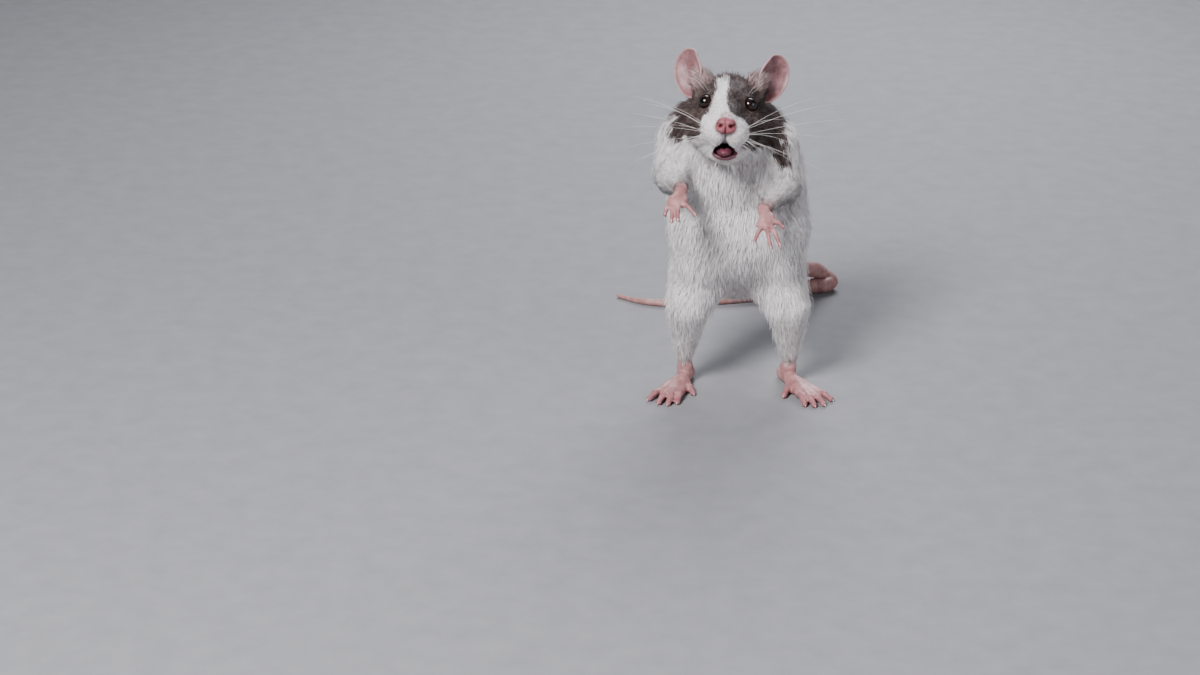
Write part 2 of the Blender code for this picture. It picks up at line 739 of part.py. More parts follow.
def tail_course():
    """Centres and radii close together along the tail"""
    stops = [(Vector(place), radius) for place, radius in TAIL_COURSE]
    first = 2 * stops[0][0] - stops[1][0]
    last = 2 * stops[-1][0] - stops[-2][0]
    places = [first] + [place for place, _ in stops] + [last]
    course = []
    for i in range(len(stops) - 1):
        for step in range(TAIL_STEPS):
            share = step / TAIL_STEPS
            point = catmull_rom(places[i], places[i + 1], places[i + 2], places[i + 3], share)
            radius = stops[i][1] * (1 - share) + stops[i + 1][1] * share
            course.append((point, radius))
    course.append(stops[-1])
    return course


def tube(course):
    """A closed tapering tube along the course"""
    curve = bpy.data.curves.new("work", "CURVE")
    curve.dimensions = "3D"
    curve.bevel_depth = MM
    curve.bevel_resolution = 2
    curve.use_fill_caps = True
    spline = curve.splines.new("POLY")
    spline.points.add(len(course) - 1)
    for point, (place, radius) in zip(spline.points, course):
        point.co = (*(place * MM), 1.0)
        point.radius = radius
    mesh = finished(on_bench(curve))
    shape = shape_from(mesh)
    bmesh.ops.remove_doubles(shape, verts=shape.verts[:], dist=0.01 * MM)
    bmesh.ops.recalc_face_normals(shape, faces=shape.faces[:])
    return mesh_from(shape)


def build_tail(torso, parts):
    """Four lengths of tail, end to end, the first one rooted on the rump"""
    course = tail_course()
    for number, (start, end) in enumerate(zip(TAIL_CUTS, TAIL_CUTS[1:]), 1):
        stretch = course[start * TAIL_STEPS:end * TAIL_STEPS + 1]
        if start > 0:
            stretch[0] = nudged(stretch[0], stretch[1], GAP / 2)
        if end < TAIL_CUTS[-1]:
            stretch[-1] = nudged(stretch[-1], stretch[-2], GAP / 2)
        length = in_front_of(tube(stretch), (0.0, 0.0, 0.0), (0.0, 0.0, 1.0), 0.0)
        if number == 1:
            length = joined(length, torso, "DIFFERENCE")
        parts["tail_%d" % number] = (length, "tail_skin")


def nudged(stop, towards, distance):
    """A stop of the course moved a little towards its neighbour"""
    place, radius = stop
    return place + (towards[0] - place).normalized() * distance, radius


def build_trunk_parts(parts):
    flesh = bmesh.new()
    add_trunk(flesh)
    add_neck(flesh)
    add_head(flesh)
    whole = skin_over(flesh, "trunk")
    nape_point, nape_normal = plane_through(HEAD, *NAPE_CUT)
    if nape_normal.y > 0:
        nape_normal = -nape_normal
    torso = behind(whole, nape_point, nape_normal)
    parts["neck"] = (in_front_of(torso, *CHEST_TOP), "hood_fur")
    lower = behind(torso, *CHEST_TOP)
    parts["chest"] = (in_front_of(lower, *BELLY_TOP), "white_fur")
    parts["belly"] = (behind(lower, *BELLY_TOP), "white_fur")
    return whole


def centred(parts):
    """Move every part across the floor so that the whole stands over the origin"""
    corners = [vert.co for mesh, _ in parts.values() for vert in mesh.vertices]
    middle = [(min(axis) + max(axis)) / 2 for axis in zip(*corners)]
    for mesh, _ in parts.values():
        mesh.transform(Matrix.Translation((-middle[0], -middle[1], 0.0)))


def place(name, mesh, material, group):
    mesh.name = name
    mesh.materials.clear()
    mesh.materials.append(material_named(material))
    item = bpy.data.objects.new(name, mesh)
    group.objects.link(item)
    mesh.shade_smooth()
    return item


empty_scene()
rat = collection_named("rat")
bench = collection_named("bench")
parts = {}
trunk = build_trunk_parts(parts)
skull = build_head_parts(parts)
clear_of_torso = [grown(trunk, GAP), grown(skull, GAP)]
for side_name in ("left", "right"):
    build_arm(side_name, [mesh.copy() for mesh in clear_of_torso], parts)
    build_leg(side_name, [clear_of_torso[0].copy()], parts)
    leaf_of_ear = joined(ear(EARS[side_name]), [clear_of_torso[1].copy()], "DIFFERENCE")
    parts["ear_" + side_name] = (leaf_of_ear, "ear_skin")
build_tail([clear_of_torso[0].copy()], parts)
centred(parts)
for part_name, (part_mesh, part_material) in parts.items():
    place(part_name, part_mesh, part_material, rat)
bpy.data.collections.remove(bench)
for leftover in [mesh for mesh in bpy.data.meshes if mesh.users == 0]:
    bpy.data.meshes.remove(leftover)
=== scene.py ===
"""Skin, coat, eyes, whiskers and light for the rearing hooded rat.

Everything is worked out in millimetres in the rat's own frame, where it faces -Y, its left
side is +X and the floor is Z 0, and goes into the scene through SHIFT.
"""

import math

import bmesh
import bpy
import numpy as np
from mathutils import Matrix, Vector
from mathutils.bvhtree import BVHTree
from mathutils.kdtree import KDTree


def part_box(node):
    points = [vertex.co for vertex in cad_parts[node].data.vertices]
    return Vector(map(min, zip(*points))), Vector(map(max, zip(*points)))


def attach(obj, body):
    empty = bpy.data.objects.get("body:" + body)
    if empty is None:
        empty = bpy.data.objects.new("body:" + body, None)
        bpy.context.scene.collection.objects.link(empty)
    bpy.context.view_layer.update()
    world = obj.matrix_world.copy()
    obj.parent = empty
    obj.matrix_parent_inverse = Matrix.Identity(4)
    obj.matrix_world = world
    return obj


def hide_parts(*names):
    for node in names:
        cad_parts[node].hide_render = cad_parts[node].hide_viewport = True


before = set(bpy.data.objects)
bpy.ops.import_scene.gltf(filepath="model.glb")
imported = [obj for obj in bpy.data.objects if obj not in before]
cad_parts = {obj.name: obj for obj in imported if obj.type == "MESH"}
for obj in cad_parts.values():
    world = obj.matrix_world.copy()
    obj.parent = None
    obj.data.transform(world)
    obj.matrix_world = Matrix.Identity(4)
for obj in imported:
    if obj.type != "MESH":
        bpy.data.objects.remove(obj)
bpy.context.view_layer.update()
MM = 0.001

# Named places and sizes that the solids are built from
NOSE_TIP = (-8.6, -26.0, 121.5)
NOSE_UP = 15.0
NOSE_ASIDE = 3.5
HEAD_TILT = 2.5
EYE_PLACE = (8.5, 24.6, 7.4)
EYE_RADIUS = 3.0
EYE_LOOK = (0.72, -0.62, 0.28)
LID_LOOK = (0.55, -0.78, 0.30)
LID_ANGLE = 70.0
EAR_LENGTH = 20.3
EAR_WIDTH = 15.8
EAR_CUP = 3.4
EAR_BACK = 12.0
EARS = {
    "left": {"side": 1, "base": (13.8, 35.5, 8.2), "turn": 36.0, "spread": 19.0},
    "right": {"side": -1, "base": (15.0, 35.5, 8.2), "turn": 40.0, "spread": 9.0},
}
MOUTH_PLACE = (0.0, 8.6, -9.9)
MOUTH_SIZE = (4.3, 5.4, 2.7)
TONGUE_PLACE = (0.0, 10.4, -10.9)
TONGUE_SIZE = (3.1, 5.3, 2.1)
ARMS = {
    "left": {
        "shoulder": (11.2, 13.4, 99.6),
        "elbow": (16.4, 5.8, 86.4),
        "wrist": (7.6, -15.0, 83.0),
        "palm": (8.4, -21.5, 80.8),
        "tips": ((3.4, -30.8, 76.4), (9.4, -34.0, 74.2), (13.0, -32.0, 74.8), (14.6, -24.5, 79.4)),
        "thumb": (4.6, -22.0, 79.2),
    },
    "right": {
        "shoulder": (-21.8, 12.8, 103.6),
        "elbow": (-27.8, 6.0, 90.0),
        "wrist": (-25.1, -14.5, 91.2),
        "palm": (-26.8, -21.5, 89.2),
        "tips": ((-20.2, -29.5, 86.4), (-26.8, -32.5, 85.2), (-29.4, -32.0, 84.6), (-31.8, -27.5, 85.6)),
        "thumb": (-23.4, -22.0, 87.6),
    },
}
WRIST_RADIUS = 3.1
WRIST_END = WRIST_RADIUS * 0.95
WRIST_OVERLAP = 2.0
PALM_SIZE = (4.2, 4.7, 2.3)
HEEL_OF_HAND = 2.2
PAW_PAD_SIZE = (1.2, 1.2, 0.9)
PAW_PAD_PLACE = (2.2, 2.4, 1.5)
MIDDLE = 1.5
LONGEST_FINGER = 1.4
KNUCKLE_REACH = 2.6
KNUCKLE_ARCH = 0.5
KNUCKLE_SPREAD = 1.75
KNUCKLE_PLACE = 0.55
KNUCKLE_RISE = 0.9
FINGER_ROOT = 1.6
FINGER_RADIUS = 0.95
FINGER_PAD_DROP = 0.3
FINGER_CLAW = 1.7
THUMB_RADII = (1.4, 1.0)
LEGS = {
    "left": {
        "hip": (12.0, 21.0, 48.0),
        "knee": (19.6, 1.8, 35.6),
        "ankle": (20.8, 5.0, 9.5),
        "heel": (17.9, 12.0),
        "toe_tips": ((17.8, -10.6), (25.6, -19.2), (29.4, -20.0), (33.3, -19.0), (36.6, -14.2)),
        "toe_roots": ((20.4, -3.2), (23.8, -10.2), (26.7, -11.8), (29.5, -11.6), (31.6, -8.8)),
    },
    "right": {
        "hip": (-13.0, 21.0, 48.0),
        "knee": (-21.1, 2.3, 35.6),
        "ankle": (-22.4, 6.0, 9.5),
        "heel": (-20.0, 13.4),
        "toe_tips": ((-19.2, -8.0), (-25.8, -17.0), (-29.6, -18.4), (-33.3, -17.2), (-37.0, -13.4)),
        "toe_roots": ((-21.4, -1.4), (-24.2, -8.6), (-27.0, -10.2), (-30.0, -10.2), (-32.4, -7.6)),
    },
}
ANKLE_RADIUS = 3.3
ANKLE_OVERLAP = 3.0
HEEL_SIZE = (2.6, 3.9, 2.9)
HEEL_AHEAD = 2.0
HEEL_HEIGHT = 2.5
TENDON_TOP = 2.5
TENDON_END = 2.2
INSTEP_RADIUS = 3.4
INSTEP_REACH = 7.0
INSTEP_HEIGHT = 4.2
SOLE_RADII = (3.2, 3.0)
SOLE_REACH = (3.0, 14.0)
SOLE_HEIGHT = 3.0
PAD_REACH = 17.5
PAD_HEIGHT = 1.5
PAD_SIZE = (4.6, 4.6, 2.1)
TOES_FROM = 11.0
TOE_ROOT = 2.7
TOE_ROOT_HEIGHT = 2.5
TOE_ROOT_DROP = 0.35
TOE_TIP_HEIGHT = 1.1
TOE_ARCH = 0.9
TOE_RADIUS = 1.35
TOE_CLAW = 2.0
# How thick a finger or toe is along its way, as shares of its radius
FINGER_SHARES = {"base": 1.25, "root": 1.2, "bone": 0.98, "tip": 0.86, "knuckle": 1.16}
TOE_SHARES = {"base": 1.45, "root": 1.3, "bone": 1.0, "tip": 0.86, "knuckle": 1.14}
TAIL_COURSE = (
    ((1.0, 42.0, 31.0), 4.7),
    ((4.0, 52.0, 28.5), 4.5),
    ((9.5, 63.0, 25.0), 4.3),
    ((17.0, 75.0, 20.6), 4.0),
    ((25.0, 87.0, 16.8), 3.8),
    ((32.0, 97.4, 14.6), 3.7),
    ((38.4, 106.2, 10.9), 3.55),
    ((41.8, 112.0, 6.8), 3.4),
    ((46.0, 110.6, 3.9), 3.25),
    ((43.0, 107.2, 3.2), 3.3),
    ((37.2, 106.2, 3.3), 3.4),
    ((20.0, 99.0, 3.0), 3.0),
    ((0.0, 93.5, 2.3), 2.4),
    ((-20.0, 89.5, 1.8), 1.9),
    ((-37.0, 92.0, 1.3), 1.4),
    ((-49.0, 100.0, 0.9), 0.9),
)

# The flesh under the coat: how far the nodes are swollen so that they fuse, the net's width, and
# the part of the head where the net is made finer, once and then again nearer the nose
SWELL = 0.3
VOXEL = 0.5
FINER_BEFORE = (31.0, 13.0)
FINER_ABOVE = -19.0
FINER_WITHIN = 17.0

# The nodes that lie under the skin
SIDES = ("left", "right")
HEAD_NODES = ["head", "nose", "jaw"]
TRUNK_NODES = HEAD_NODES + ["neck", "chest", "belly"]
LIMB_NODES = ["%s_%s" % (part, side) for side in SIDES for part in ("upper_arm", "forearm", "thigh", "shank")]
END_NODES = ["%s_%s" % (part, side) for side in SIDES for part in ("paw", "foot")]
SKIN_NODES = TRUNK_NODES + LIMB_NODES + END_NODES
NET_NODES = SKIN_NODES + ["tail_1"]

# The coat by part of the body: depth, length and width of a tuft in mm, tufts to a square mm
COAT = {
    "head": (0.9, 2.5, 0.17, 13.0),
    "nose": (0.0, 0.8, 0.12, 0.0),
    "jaw": (0.5, 1.9, 0.15, 14.0),
    "neck": (1.3, 4.2, 0.22, 9.0),
    "chest": (1.35, 4.6, 0.25, 8.0),
    "belly": (1.4, 4.8, 0.27, 7.0),
    "upper_arm": (1.2, 3.8, 0.22, 9.0),
    "forearm": (0.7, 2.5, 0.18, 11.0),
    "paw": (0.0, 0.9, 0.09, 0.8),
    "thigh": (1.35, 4.4, 0.25, 8.0),
    "shank": (0.9, 3.0, 0.20, 10.0),
    "foot": (0.0, 1.0, 0.09, 0.6),
    "tail_1": (0.0, 1.0, 0.12, 0.0),
}


def head_frame():
    """From millimetres in the head's own frame to metres in the rat's frame"""
    place = Matrix.Translation(Vector(NOSE_TIP) * MM)
    aside = Matrix.Rotation(math.radians(-NOSE_ASIDE), 4, "Z")
    up = Matrix.Rotation(math.radians(-NOSE_UP), 4, "X")
    tilt = Matrix.Rotation(math.radians(HEAD_TILT), 4, "Y")
    return place @ aside @ up @ tilt @ Matrix.Scale(MM, 4)


eye_low, eye_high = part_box("eye_left")
SHIFT = (Vector(eye_low) + Vector(eye_high)) / 2 - head_frame() @ Vector(EYE_PLACE)
HEAD = Matrix.Scale(1 / MM, 4) @ head_frame()
HEAD_TURN = np.array(HEAD.to_3x3())
HEAD_PLACE = np.array(HEAD.translation)
SHIFT_MM = np.array(SHIFT) / MM


def in_world(points):
    """Millimetres in the rat's frame to metres in the scene"""
    return (np.asarray(points) + SHIFT_MM) * MM


def from_head(points):
    """Millimetres in the head's frame to the rat's frame"""
    return np.asarray(points) @ HEAD_TURN.T + HEAD_PLACE


def to_head(points):
    return (np.asarray(points) - HEAD_PLACE) @ HEAD_TURN


def mirrored(point, side):
    return (point[0] * side, point[1], point[2])


def unit(vectors):
    return vectors / np.maximum(np.linalg.norm(vectors, axis=-1, keepdims=True), 1e-9)


def ramp(value, start, end):
    share = np.clip((value - start) / (end - start), 0.0, 1.0)
    return share * share * (3 - 2 * share)


def mottle(points, size, seed):
    """Smooth noise about -1 to 1 at each point, from waves in many directions"""
    waves = np.random.default_rng(seed)
    total = np.zeros(len(points))
    for _ in range(9):
        direction = unit(waves.normal(size=3))
        pitch = size * waves.uniform(0.7, 1.5)
        total += np.sin(points @ direction * 2 * math.pi / pitch + waves.uniform(0, 2 * math.pi))
    return total / 4.2


def bell(value, width):
    """1 where the value is 0, falling off to both sides"""
    return np.exp(-(value / width) ** 2)


def apart(points, centre, radii):
    """0 in the middle of an ellipsoid, 1 on its surface, more outside"""
    return np.linalg.norm((points - np.array(centre)) / np.array(radii), axis=1)


def outside(points, centre, radii, start, end):
    """0 in an ellipsoid and 1 away from it, with the change from start to end of its size"""
    return ramp(apart(points, centre, radii), start, end)


# Meshes


def add_object(name, data):
    item = bpy.data.objects.new(name, data)
    bpy.context.scene.collection.objects.link(item)
    return item


def new_piece(name, points, faces):
    """An object from points in the rat's frame and faces of their indices"""
    mesh = bpy.data.meshes.new(name)
    points = in_world(points)
    faces = np.asarray(faces)
    sides = faces.shape[1]
    mesh.vertices.add(len(points))
    mesh.vertices.foreach_set("co", points.astype(np.float32).ravel())
    mesh.loops.add(faces.size)
    mesh.loops.foreach_set("vertex_index", faces.astype(np.int32).ravel())
    mesh.polygons.add(len(faces))
    mesh.polygons.foreach_set("loop_start", np.arange(0, faces.size, sides, dtype=np.int32))
    mesh.update(calc_edges=True)
    mesh.polygons.foreach_set("use_smooth", np.full(len(faces), True))
    return add_object(name, mesh)


def set_values(item, name, values):
    """A number at every point of the object's mesh, for its material to read"""
    layer = item.data.attributes.new(name, "FLOAT", "POINT")
    layer.data.foreach_set("value", np.asarray(values, dtype=np.float32))


def set_vectors(item, name, values):
    layer = item.data.attributes.new(name, "FLOAT_VECTOR", "POINT")
    layer.data.foreach_set("vector", np.asarray(values, dtype=np.float32).ravel())


def mesh_arrays(mesh):
    points = np.empty(len(mesh.vertices) * 3)
    mesh.vertices.foreach_get("co", points)
    points = points.reshape(-1, 3) / MM - SHIFT_MM
    mesh.calc_loop_triangles()
    faces = np.empty(len(mesh.loop_triangles) * 3, dtype=np.int32)
    mesh.loop_triangles.foreach_get("vertices", faces)
    edges = np.empty(len(mesh.edges) * 2, dtype=np.int32)
    mesh.edges.foreach_get("vertices", edges)
    return points, faces.reshape(-1, 3), edges.reshape(-1, 2)


def remeshed(shape, voxel):
    mesh = bpy.data.meshes.new("flesh")
    shape.to_mesh(mesh)
    shape.free()
    item = add_object("flesh", mesh)
    fuse = item.modifiers.new("fuse", "REMESH")
    fuse.mode = "VOXEL"
    fuse.voxel_size = voxel * MM
    depsgraph = bpy.context.evaluated_depsgraph_get()
    result = bpy.data.meshes.new_from_object(item.evaluated_get(depsgraph), depsgraph=depsgraph)
    bpy.data.objects.remove(item)
    return result


def made_finer(mesh, furthest_back):
    """Halves the mesh's width where the head lies in front of a place on its own Y axis"""
    shape = bmesh.new()
    shape.from_mesh(mesh)
    points = np.array([vert.co for vert in shape.verts]) / MM - SHIFT_MM
    head = to_head(points)
    ahead = (head[:, 1] < furthest_back) & (head[:, 2] > FINER_ABOVE) & (np.abs(head[:, 0]) < FINER_WITHIN)
    edges = [edge for edge in shape.edges if ahead[edge.verts[0].index] and ahead[edge.verts[1].index]]
    bmesh.ops.subdivide_edges(shape, edges=edges, cuts=1, use_grid_fill=True)
    bmesh.ops.triangulate(shape, faces=[face for face in shape.faces if len(face.verts) > 4])
    shape.to_mesh(mesh)
    shape.free()


class Net:
    """Points and triangles that can be smoothed"""

    def __init__(self, points, faces, edges):
        self.points = points
        self.faces = faces
        self.edges = edges
        self.count = np.maximum(np.bincount(edges.ravel(), minlength=len(points)), 1)

    def around(self, values):
        """The mean of the neighbours' values at every point"""
        one, other = self.edges.T
        size = len(self.points)
        columns = values.reshape(size, -1)
        total = [
            np.bincount(one, columns[other, i], size) + np.bincount(other, columns[one, i], size)
            for i in range(columns.shape[1])
        ]
        return (np.stack(total, 1) / self.count[:, None]).reshape(values.shape)

    def softened(self, values, rounds, share=0.5):
        for _ in range(rounds):
            values = values + (self.around(values) - values) * share
        return values

    def normals(self):
        a, b, c = (self.points[self.faces[:, i]] for i in range(3))
        facing = np.cross(b - a, c - a)
        size = len(self.points)
        total = np.zeros((size, 3))
        for i in range(3):
            for axis in range(3):
                total[:, axis] += np.bincount(self.faces[:, i], facing[:, axis], size)
        return unit(total)

    def largest(self):
        """The net without anything but its biggest connected surface"""
        label = np.arange(len(self.points))
        while True:
            lowest = np.minimum(label[self.edges[:, 0]], label[self.edges[:, 1]])
            new = label.copy()
            np.minimum.at(new, self.edges[:, 0], lowest)
            np.minimum.at(new, self.edges[:, 1], lowest)
            new = new[new]
            if (new == label).all():
                break
            label = new
        keep = label == np.bincount(label).argmax()
        number = np.cumsum(keep) - 1
        faces = number[self.faces[keep[self.faces].all(1)]]
        edges = number[self.edges[keep[self.edges].all(1)]]
        return Net(self.points[keep], faces, edges)

    def tree(self):
        return BVHTree.FromPolygons(self.points.tolist(), self.faces.tolist())


# Flesh of balls and tapered rods, for the hands and feet


def placed(centre):
    """A solid's place in the scene, from millimetres in the rat's frame"""
    return Matrix.Translation(SHIFT) @ Matrix.Scale(MM, 4) @ Matrix.Translation(centre)


def ball(flesh, centre, radii, turn=None):
    matrix = placed(centre)
    if turn is not None:
        matrix = matrix @ turn.to_4x4()
    if isinstance(radii, float):
        radii = (radii,) * 3
    matrix = matrix @ Matrix.Diagonal((*radii, 1.0))
    bmesh.ops.create_icosphere(flesh, subdivisions=3, radius=1.0, matrix=matrix)


def rod(flesh, start, start_radius, end, end_radius):
    start = Vector(start)
    end = Vector(end)
    turn = (end - start).to_track_quat("Z", "Y").to_matrix().to_4x4()
    bmesh.ops.create_cone(
        flesh,
        cap_ends=True,
        cap_tris=True,
        segments=24,
        radius1=start_radius,
        radius2=end_radius,
        depth=(end - start).length,
        matrix=placed((start + end) / 2) @ turn,
    )
    ball(flesh, start, start_radius)
    ball(flesh, end, end_radius)


def digit(flesh, stops, base_radius, radius, shares):
    """A finger or toe from the palm or sole over its root and knuckle to its tip"""
    base, root, knuckle, tip = stops
    rod(flesh, base, base_radius, root, radius * shares["base"])
    rod(flesh, root, radius * shares["root"], knuckle, radius * shares["bone"])
    rod(flesh, knuckle, radius * shares["bone"], tip, radius * shares["tip"])
    ball(flesh, knuckle, radius * shares["knuckle"])


def add_paw(flesh, places):
    """Palm, four fingers and a thumb; returns where each claw grows and points"""
    wrist = Vector(places["wrist"])
    palm = Vector(places["palm"])
    ahead = (palm - wrist).normalized()
    tips = [Vector(tip) for tip in places["tips"]]
    across = (tips[3] - tips[0]).normalized()
    up = across.cross(ahead).normalized()
    if up.z < 0:
        up = -up
    turn = Matrix((across, -ahead, up)).transposed()
    rod(flesh, wrist - ahead * WRIST_OVERLAP, WRIST_END, palm, HEEL_OF_HAND)
    ball(flesh, palm, PALM_SIZE, turn)
    claws = []
    for i, tip in enumerate(tips):
        root = palm + ahead * (KNUCKLE_REACH - KNUCKLE_ARCH * abs(i - LONGEST_FINGER))
        root += across * (i - MIDDLE) * KNUCKLE_SPREAD
        knuckle = root.lerp(tip, KNUCKLE_PLACE) + up * KNUCKLE_RISE
        digit(flesh, (palm, root, knuckle, tip), FINGER_ROOT, FINGER_RADIUS, FINGER_SHARES)
        ball(flesh, tip - up * FINGER_PAD_DROP, FINGER_RADIUS)
        ball(flesh, root + up * FINGER_PAD_DROP, FINGER_RADIUS * 1.3)
        along = (tip - knuckle).normalized()
        claws.append((tip + along * 0.4 + up * 0.25, along, up, FINGER_CLAW))
    rod(flesh, palm, THUMB_RADII[0], places["thumb"], THUMB_RADII[1])
    aside, reach, drop = PAW_PAD_PLACE
    for share in (-0.9, 0.0, 0.9):
        place = palm + across * share * aside + ahead * (reach - abs(share)) - up * drop
        ball(flesh, place, PAW_PAD_SIZE)
    return claws


def add_foot(flesh, places):
    """Heel, sole, pad and five toes; returns where each claw grows and points"""
    heel = Vector((*places["heel"], 0.0))
    ankle = Vector(places["ankle"])
    drop = (ankle - Vector(places["knee"])).normalized()
    above = ankle - drop * ANKLE_OVERLAP
    roots = [Vector((*root, 0.0)) for root in places["toe_roots"]]
    tips = [Vector((*tip, 0.0)) for tip in places["toe_tips"]]
    ahead = (roots[2] - heel).normalized()
    facing = Matrix.Rotation(math.atan2(ahead.x, -ahead.y), 3, "Z")
    up = Vector((0.0, 0.0, 1.0))

    def sole(reach, height):
        return heel + ahead * reach + up * height

    heel_bone = sole(HEEL_AHEAD, HEEL_HEIGHT)
    ball(flesh, heel_bone, HEEL_SIZE, facing)
    rod(flesh, above, TENDON_TOP, heel_bone, TENDON_END)
    rod(flesh, above, ANKLE_RADIUS, sole(INSTEP_REACH, INSTEP_HEIGHT), INSTEP_RADIUS)
    start, end = (sole(reach, SOLE_HEIGHT) for reach in SOLE_REACH)
    rod(flesh, start, SOLE_RADII[0], end, SOLE_RADII[1])
    ball(flesh, sole(PAD_REACH, PAD_HEIGHT), PAD_SIZE, facing)
    claws = []
    for i, (root, tip) in enumerate(zip(roots, tips)):
        root = root + up * (TOE_ROOT_HEIGHT - TOE_ROOT_DROP * abs(i - 2))
        tip = tip + up * TOE_TIP_HEIGHT
        knuckle = root.lerp(tip, 0.5) + up * TOE_ARCH
        digit(flesh, (sole(TOES_FROM, SOLE_HEIGHT), root, knuckle, tip), TOE_ROOT, TOE_RADIUS, TOE_SHARES)
        ball(flesh, tip, TOE_RADIUS * 0.98)
        along = (tip - root).normalized()
        along.z = 0.0
        claws.append((tip + along * 0.5 + up * 0.35, along, up, TOE_CLAW))
    return claws


# Skin


def part_of(name):
    """The name without its side"""
    return name.replace("_left", "").replace("_right", "")


def swollen(shape, name):
    """Adds a node's solid, pushed out so that it fuses with its neighbours"""
    solid = bmesh.new()
    solid.from_mesh(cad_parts[name].data)
    bmesh.ops.remove_doubles(solid, verts=solid.verts[:], dist=1e-6)
    bmesh.ops.recalc_face_normals(solid, faces=solid.faces[:])
    for vert in solid.verts:
        vert.co += vert.normal * SWELL * MM
    mesh = bpy.data.meshes.new("solid")
    solid.to_mesh(mesh)
    solid.free()
    shape.from_mesh(mesh)
    bpy.data.meshes.remove(mesh)


def build_net():
    shape = bmesh.new()
    for name in TRUNK_NODES + LIMB_NODES + ["tail_1"]:
        swollen(shape, name)
    claws = {}
    for side in SIDES:
        claws["paw_" + side] = add_paw(shape, ARMS[side])
        claws["foot_" + side] = add_foot(shape, LEGS[side])
    mesh = remeshed(shape, VOXEL)
    for furthest_back in FINER_BEFORE:
        made_finer(mesh, furthest_back)
    return Net(*mesh_arrays(mesh)).largest(), claws


def nearest_nodes(net):
    """The number in NET_NODES of the node that lies closest to each point of the net"""
    corners = []
    faces = []
    owner = []
    for number, name in enumerate(NET_NODES):
        points, triangles, _ = mesh_arrays(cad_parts[name].data)
        faces.extend((triangles + len(corners)).tolist())
        corners.extend(points.tolist())
        owner.extend([number] * len(triangles))
    tree = BVHTree.FromPolygons(corners, faces)
    return np.array([owner[tree.find_nearest(point)[2]] for point in net.points.tolist()])


def among(found, wanted):
    """Where the nearest node is one of the wanted ones"""
    return np.isin(found, [NET_NODES.index(name) for name in wanted])


def by_part(found, column):
    """The column of COAT for the nearest node's part of the body"""
    return np.array([COAT[part_of(name)][column] for name in NET_NODES])[found]


# Where hair points on the trunk; it runs down the limbs and back from a place before the nose
TRUNK_LIE = {
    "neck": (0.0, 0.25, -1.0),
    "chest": (0.0, 0.10, -1.0),
    "belly": (0.0, 0.15, -1.0),
    "tail_1": (0.1, 1.0, -0.3),
}
LIE_START = (0.0, -8.0, -1.0)
THIGH_LEAN = (0.0, 6.0, -14.0)
FOOT_LIE = (0.0, -1.0, -0.3)


def lie_of_coat(net, found):
    """Which way the hair points at every point of the skin"""
    ways = dict(TRUNK_LIE)
    for side in SIDES:
        arm, leg = ARMS[side], LEGS[side]
        ways["upper_arm_" + side] = np.subtract(arm["elbow"], arm["shoulder"])
        ways["forearm_" + side] = np.subtract(arm["wrist"], arm["elbow"])
        ways["paw_" + side] = np.subtract(arm["palm"], arm["wrist"])
        ways["thigh_" + side] = np.subtract(leg["knee"], leg["hip"]) + THIGH_LEAN
        ways["shank_" + side] = np.subtract(leg["ankle"], leg["knee"])
        ways["foot_" + side] = FOOT_LIE
    towards = from_head(to_head(net.points)) - from_head(LIE_START)
    for name, way in ways.items():
        towards[found == NET_NODES.index(name)] = way
    towards = net.softened(unit(towards), 40)
    normals = net.normals()
    return unit(towards - normals * (towards * normals).sum(1, keepdims=True))


# The hood's edges on the head: how far aside each lies at places from the nose backwards, or how
# far back at heights
BLAZE_LEFT = ((6.0, 11.0, 16.0, 20.0, 24.0, 30.0, 36.0), (1.2, -0.3, -0.6, -0.5, -0.5, -0.5, 0.4))
BLAZE_RIGHT = (
    (12.0, 16.0, 17.3, 19.0, 19.5, 21.0, 24.0, 30.0, 36.0),
    (9.7, 9.6, 8.3, 6.4, 5.4, 4.8, 4.5, 4.4, 3.8),
)
MUZZLE_LEFT = (
    (-13.0, -11.0, -7.0, -4.2, -1.6, 0.0, 1.7, 2.8, 3.4, 5.0),
    (34.0, 27.0, 16.5, 13.0, 12.0, 12.2, 12.5, 10.5, 7.0, 6.2),
)
MUZZLE_RIGHT = (
    (-9.0, -6.3, -2.9, 0.0, 2.7, 4.1, 5.6, 8.0),
    (26.0, 20.0, 13.4, 12.7, 15.5, 17.0, 18.0, 10.0),
)
BLAZE_END = 31.0
THROAT_LEFT = 12.0
THROAT_RIGHT = 8.6
# The same on the shoulders: how far aside the patches begin and end at heights
OUTER_RIGHT = (
    (99.0, 104.5, 106.6, 107.3, 109.7, 112.1, 114.0, 118.0),
    (-7.0, -23.7, -26.6, -28.9, -29.5, -28.9, -26.5, -24.0),
)
OUTER_LEFT = (
    (92.0, 96.0, 97.0, 101.0, 106.7, 111.0, 113.0, 118.0),
    (-6.0, 15.5, 18.1, 18.4, 16.9, 15.4, 14.5, 13.0),
)
INNER_RIGHT = ((99.0, 104.5, 108.0, 112.0), (-30.0, -24.0, -21.5, -6.0))
INNER_LEFT = ((94.0, 96.0, 100.0, 104.0, 107.0, 112.0), (17.0, 14.6, 12.0, 9.0, 6.0, -6.0))


